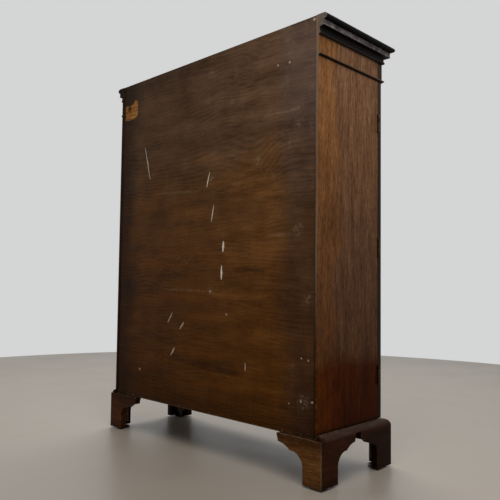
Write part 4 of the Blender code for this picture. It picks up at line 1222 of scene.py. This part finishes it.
def pane_mould(name, finish, body, low, high):
    """A quarter round mould that holds one pane, in front of the glass."""
    middle = (low + high) / 2
    mould = start(bpy.ops.mesh.primitive_plane_add, size=1.0, location=(middle.x, low.y, middle.z),
                  rotation=(math.pi / 2, 0, 0))
    mould.scale = (high.x - low.x, high.z - low.z, 1.0)
    settle(mould, name)
    shaping(mould)
    bpy.ops.mesh.select_mode(type="FACE")
    bpy.ops.mesh.inset(thickness=MOULD_WIDTH)
    bpy.ops.mesh.delete(type="FACE")
    bpy.ops.mesh.select_all(action="SELECT")
    pull(y=high.y - low.y)
    bpy.ops.mesh.select_all(action="SELECT")
    bpy.ops.mesh.normals_make_consistent(inside=False)

    def inner_front(edge):
        first, last = (point.co for point in edge.verts)
        span = max(abs(first.x - last.x), abs(first.z - last.z))
        centre = (first + last) / 2 - middle
        reach = max(abs(centre.x) - (high.x - low.x) / 2, abs(centre.z) - (high.z - low.z) / 2)
        front = max(first.y, last.y) < high.y + MERGE
        return front and span > 2 * MOULD_WIDTH and reach < -MOULD_WIDTH / 2

    choose(mould, "EDGE", inner_front)
    bpy.ops.mesh.bevel(offset=MOULD_ROUND, segments=5, profile=0.5)
    shaped()
    soften(mould)
    return fit(mould, finish, body, "polished_oak")


def door_panes(hand):
    """The three openings of a door, each with its lowest and highest corner in front of the glass."""
    stiles = [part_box(f"{hand}_{stile}") for stile in ("hinge_stile", "meeting_stile")]
    stiles.sort(key=lambda box: box[0].x)
    left, right = stiles[0][1].x, stiles[1][0].x
    glass_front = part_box(f"{hand}_glass")[0].y - GLASS_GAP
    levels = [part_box(f"{hand}_{rail}") for rail in ("bottom_rail", "bar_lower", "bar_upper", "top_rail")]
    for below, above in zip(levels, levels[1:]):
        yield Vector((left, glass_front, below[1].z)), Vector((right, MOULD_FRONT, above[0].z))


photograph_camera()
studio_floor()
studio_walls()
softbox("lamp_rear", LAMP_PLACE, LAMP_AIM)
softbox("lamp_front", LAMP_PLACE * Vector((-1, -1, 1)), LAMP_AIM * Vector((-1, -1, 1)))

SIDE_FINISH = side_oak()
OAK_UPRIGHT = polished_oak("polished_oak_upright", "Z")
OAK_LEVEL = polished_oak("polished_oak_level", "X")
# the fascia's grey and painted sheen is weak on the front mouldings and full on the side ones
MOULDING_FRONT = dark_moulding("dark_moulding_front", "X", 0.3)
MOULDING_SIDE = dark_moulding("dark_moulding_side", "Y", 1.0)
PLINTH_FRONT = base_oak("plinth_oak_front", "X", PLINTH_STAIN)
PLINTH_SIDE = base_oak("plinth_oak_side", "Y", PLINTH_STAIN)
BRACKET_OAK = {
    "left": base_oak("bracket_oak_left", "X", BRACKET_STAIN, ledge_dust=0.85),
    # the far bracket's cut faces get little painted shade
    "right": base_oak("bracket_oak_right", "X", FAR_BRACKET_STAIN, ledge_dust=0.6, sawn_shade=0.1),
}
INNER_LEVEL = inner_oak("inner_oak_level", "X")
PINE_BLOCK = glue_pine()
PLYWOOD = stained_plywood()
BRASS = old_brass("aged_brass", BRASS_CLEAN, BRASS_BROWN, 0.45)
HINGE_BRASS = old_brass("dark_brass", HINGE_CLEAN, HINGE_BROWN, 0.75)
STEEL = dull_steel("dull_steel", *STEEL_TONES)
GLIDE_STEEL = dull_steel("glide_steel", *GLIDE_TONES)
GLASS = clear_glass()

# Case
for hand in ("left", "right"):
    dress(f"side_{hand}", SIDE_FINISH, "polished_oak", BOARD_EASE)
    dress(f"cornice_{hand}", MOULDING_SIDE, "dark_moulding", CORNICE_EASE)
    dress(f"bead_{hand}", MOULDING_SIDE, "dark_moulding", BEAD_EASE)
    dress(f"plinth_{hand}", PLINTH_SIDE, "dark_moulding", BOARD_EASE)
    dress(f"back_bracket_{hand}", BRACKET_OAK[hand], "polished_oak", BOARD_EASE)
    for end in ("front", "rear"):
        dress(f"corner_block_{end}_{hand}", PINE_BLOCK, "glue_block", RAIL_EASE)
        dress(f"glide_{end}_{hand}", GLIDE_STEEL, "steel", GLIDE_EASE)
dress("cornice_front", MOULDING_FRONT, "dark_moulding", CORNICE_EASE)
dress("bead_front", MOULDING_FRONT, "dark_moulding", BEAD_EASE)
dress("plinth_front", PLINTH_FRONT, "dark_moulding", BOARD_EASE)
dress("frieze_rail", OAK_LEVEL, "polished_oak", RAIL_EASE)
dress("top_board", INNER_LEVEL, "polished_oak", RAIL_EASE)
for board in ("bottom_board", "shelf_lower", "shelf_upper"):
    dress(board, INNER_LEVEL, "inner_oak", BOARD_EASE)
back_board(PLYWOOD)

# Doors and fittings
SCREW = slotted_screw()
PIN = round_pin()
case_screws = []
for hand, toward in (("left", -1), ("right", 1)):
    for stile in ("hinge_stile", "meeting_stile"):
        dress(f"{hand}_{stile}", OAK_UPRIGHT, "polished_oak", RAIL_EASE)
    for rail in ("top_rail", "bottom_rail", "bar_lower", "bar_upper"):
        dress(f"{hand}_{rail}", OAK_LEVEL, "polished_oak", BAR_EASE)
    dress(f"{hand}_glass", GLASS, "glass", FITTING_EASE)
    for level, (low, high) in zip(("lower", "middle", "upper"), door_panes(hand)):
        pane_mould(f"{hand}_{level}_pane_mould", OAK_LEVEL, f"{hand}_door", low, high)
    door_screws = []
    for place in ("top", "middle", "bottom"):
        for leaf in ("case", "door"):
            dress(f"{hand}_hinge_{place}_{leaf}_leaf", HINGE_BRASS, "brass", LEAF_EASE, 2)
        low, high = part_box(f"{hand}_hinge_{place}_case_leaf")
        for step in (-HINGE_SCREW_STEP, 0.0, HINGE_SCREW_STEP):
            height = (low.z + high.z) / 2 + step
            case_screws.append(Vector((toward * HINGE_SCREW_ACROSS, SIDE_FRONT, height)))
            door_screws.append(Vector((toward * HINGE_SCREW_ACROSS, DOOR_BACK, height)))
    set_in(SCREW, f"{hand}_door_hinge_screws", HINGE_BRASS, f"{hand}_door", REARWARD, door_screws)
set_in(SCREW, "case_hinge_screws", HINGE_BRASS, "carcass", FORWARD, case_screws)
for fitting in ("escutcheon", "lock_bolt", "left_bolt_guide", "left_bolt"):
    dress(fitting, BRASS, "brass", FITTING_EASE)
dress("lock_case", STEEL, "steel", LOCK_EASE)
door_key(BRASS)

corners = rear_corners("lock_case", LOCK_SCREW_INSET, LOCK_SCREW_INSET)
set_in(SCREW, "lock_screws", BRASS, "right_door", REARWARD, corners)
low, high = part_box("escutcheon")
levels = (low.z + SHIELD_PIN_INSET, high.z - SHIELD_PIN_INSET)
ends = [Vector(((low.x + high.x) / 2, low.y, level)) for level in levels]
set_in(PIN, "escutcheon_pins", BRASS, "right_door", FORWARD, ends)
corners = rear_corners("left_bolt_guide", *GUIDE_PIN_INSETS)
set_in(PIN, "bolt_guide_pins", BRASS, "left_door", REARWARD, corners)
for model in (SCREW, PIN):
    bpy.data.objects.remove(model)

bpy.context.scene.view_settings.view_transform = "Standard"
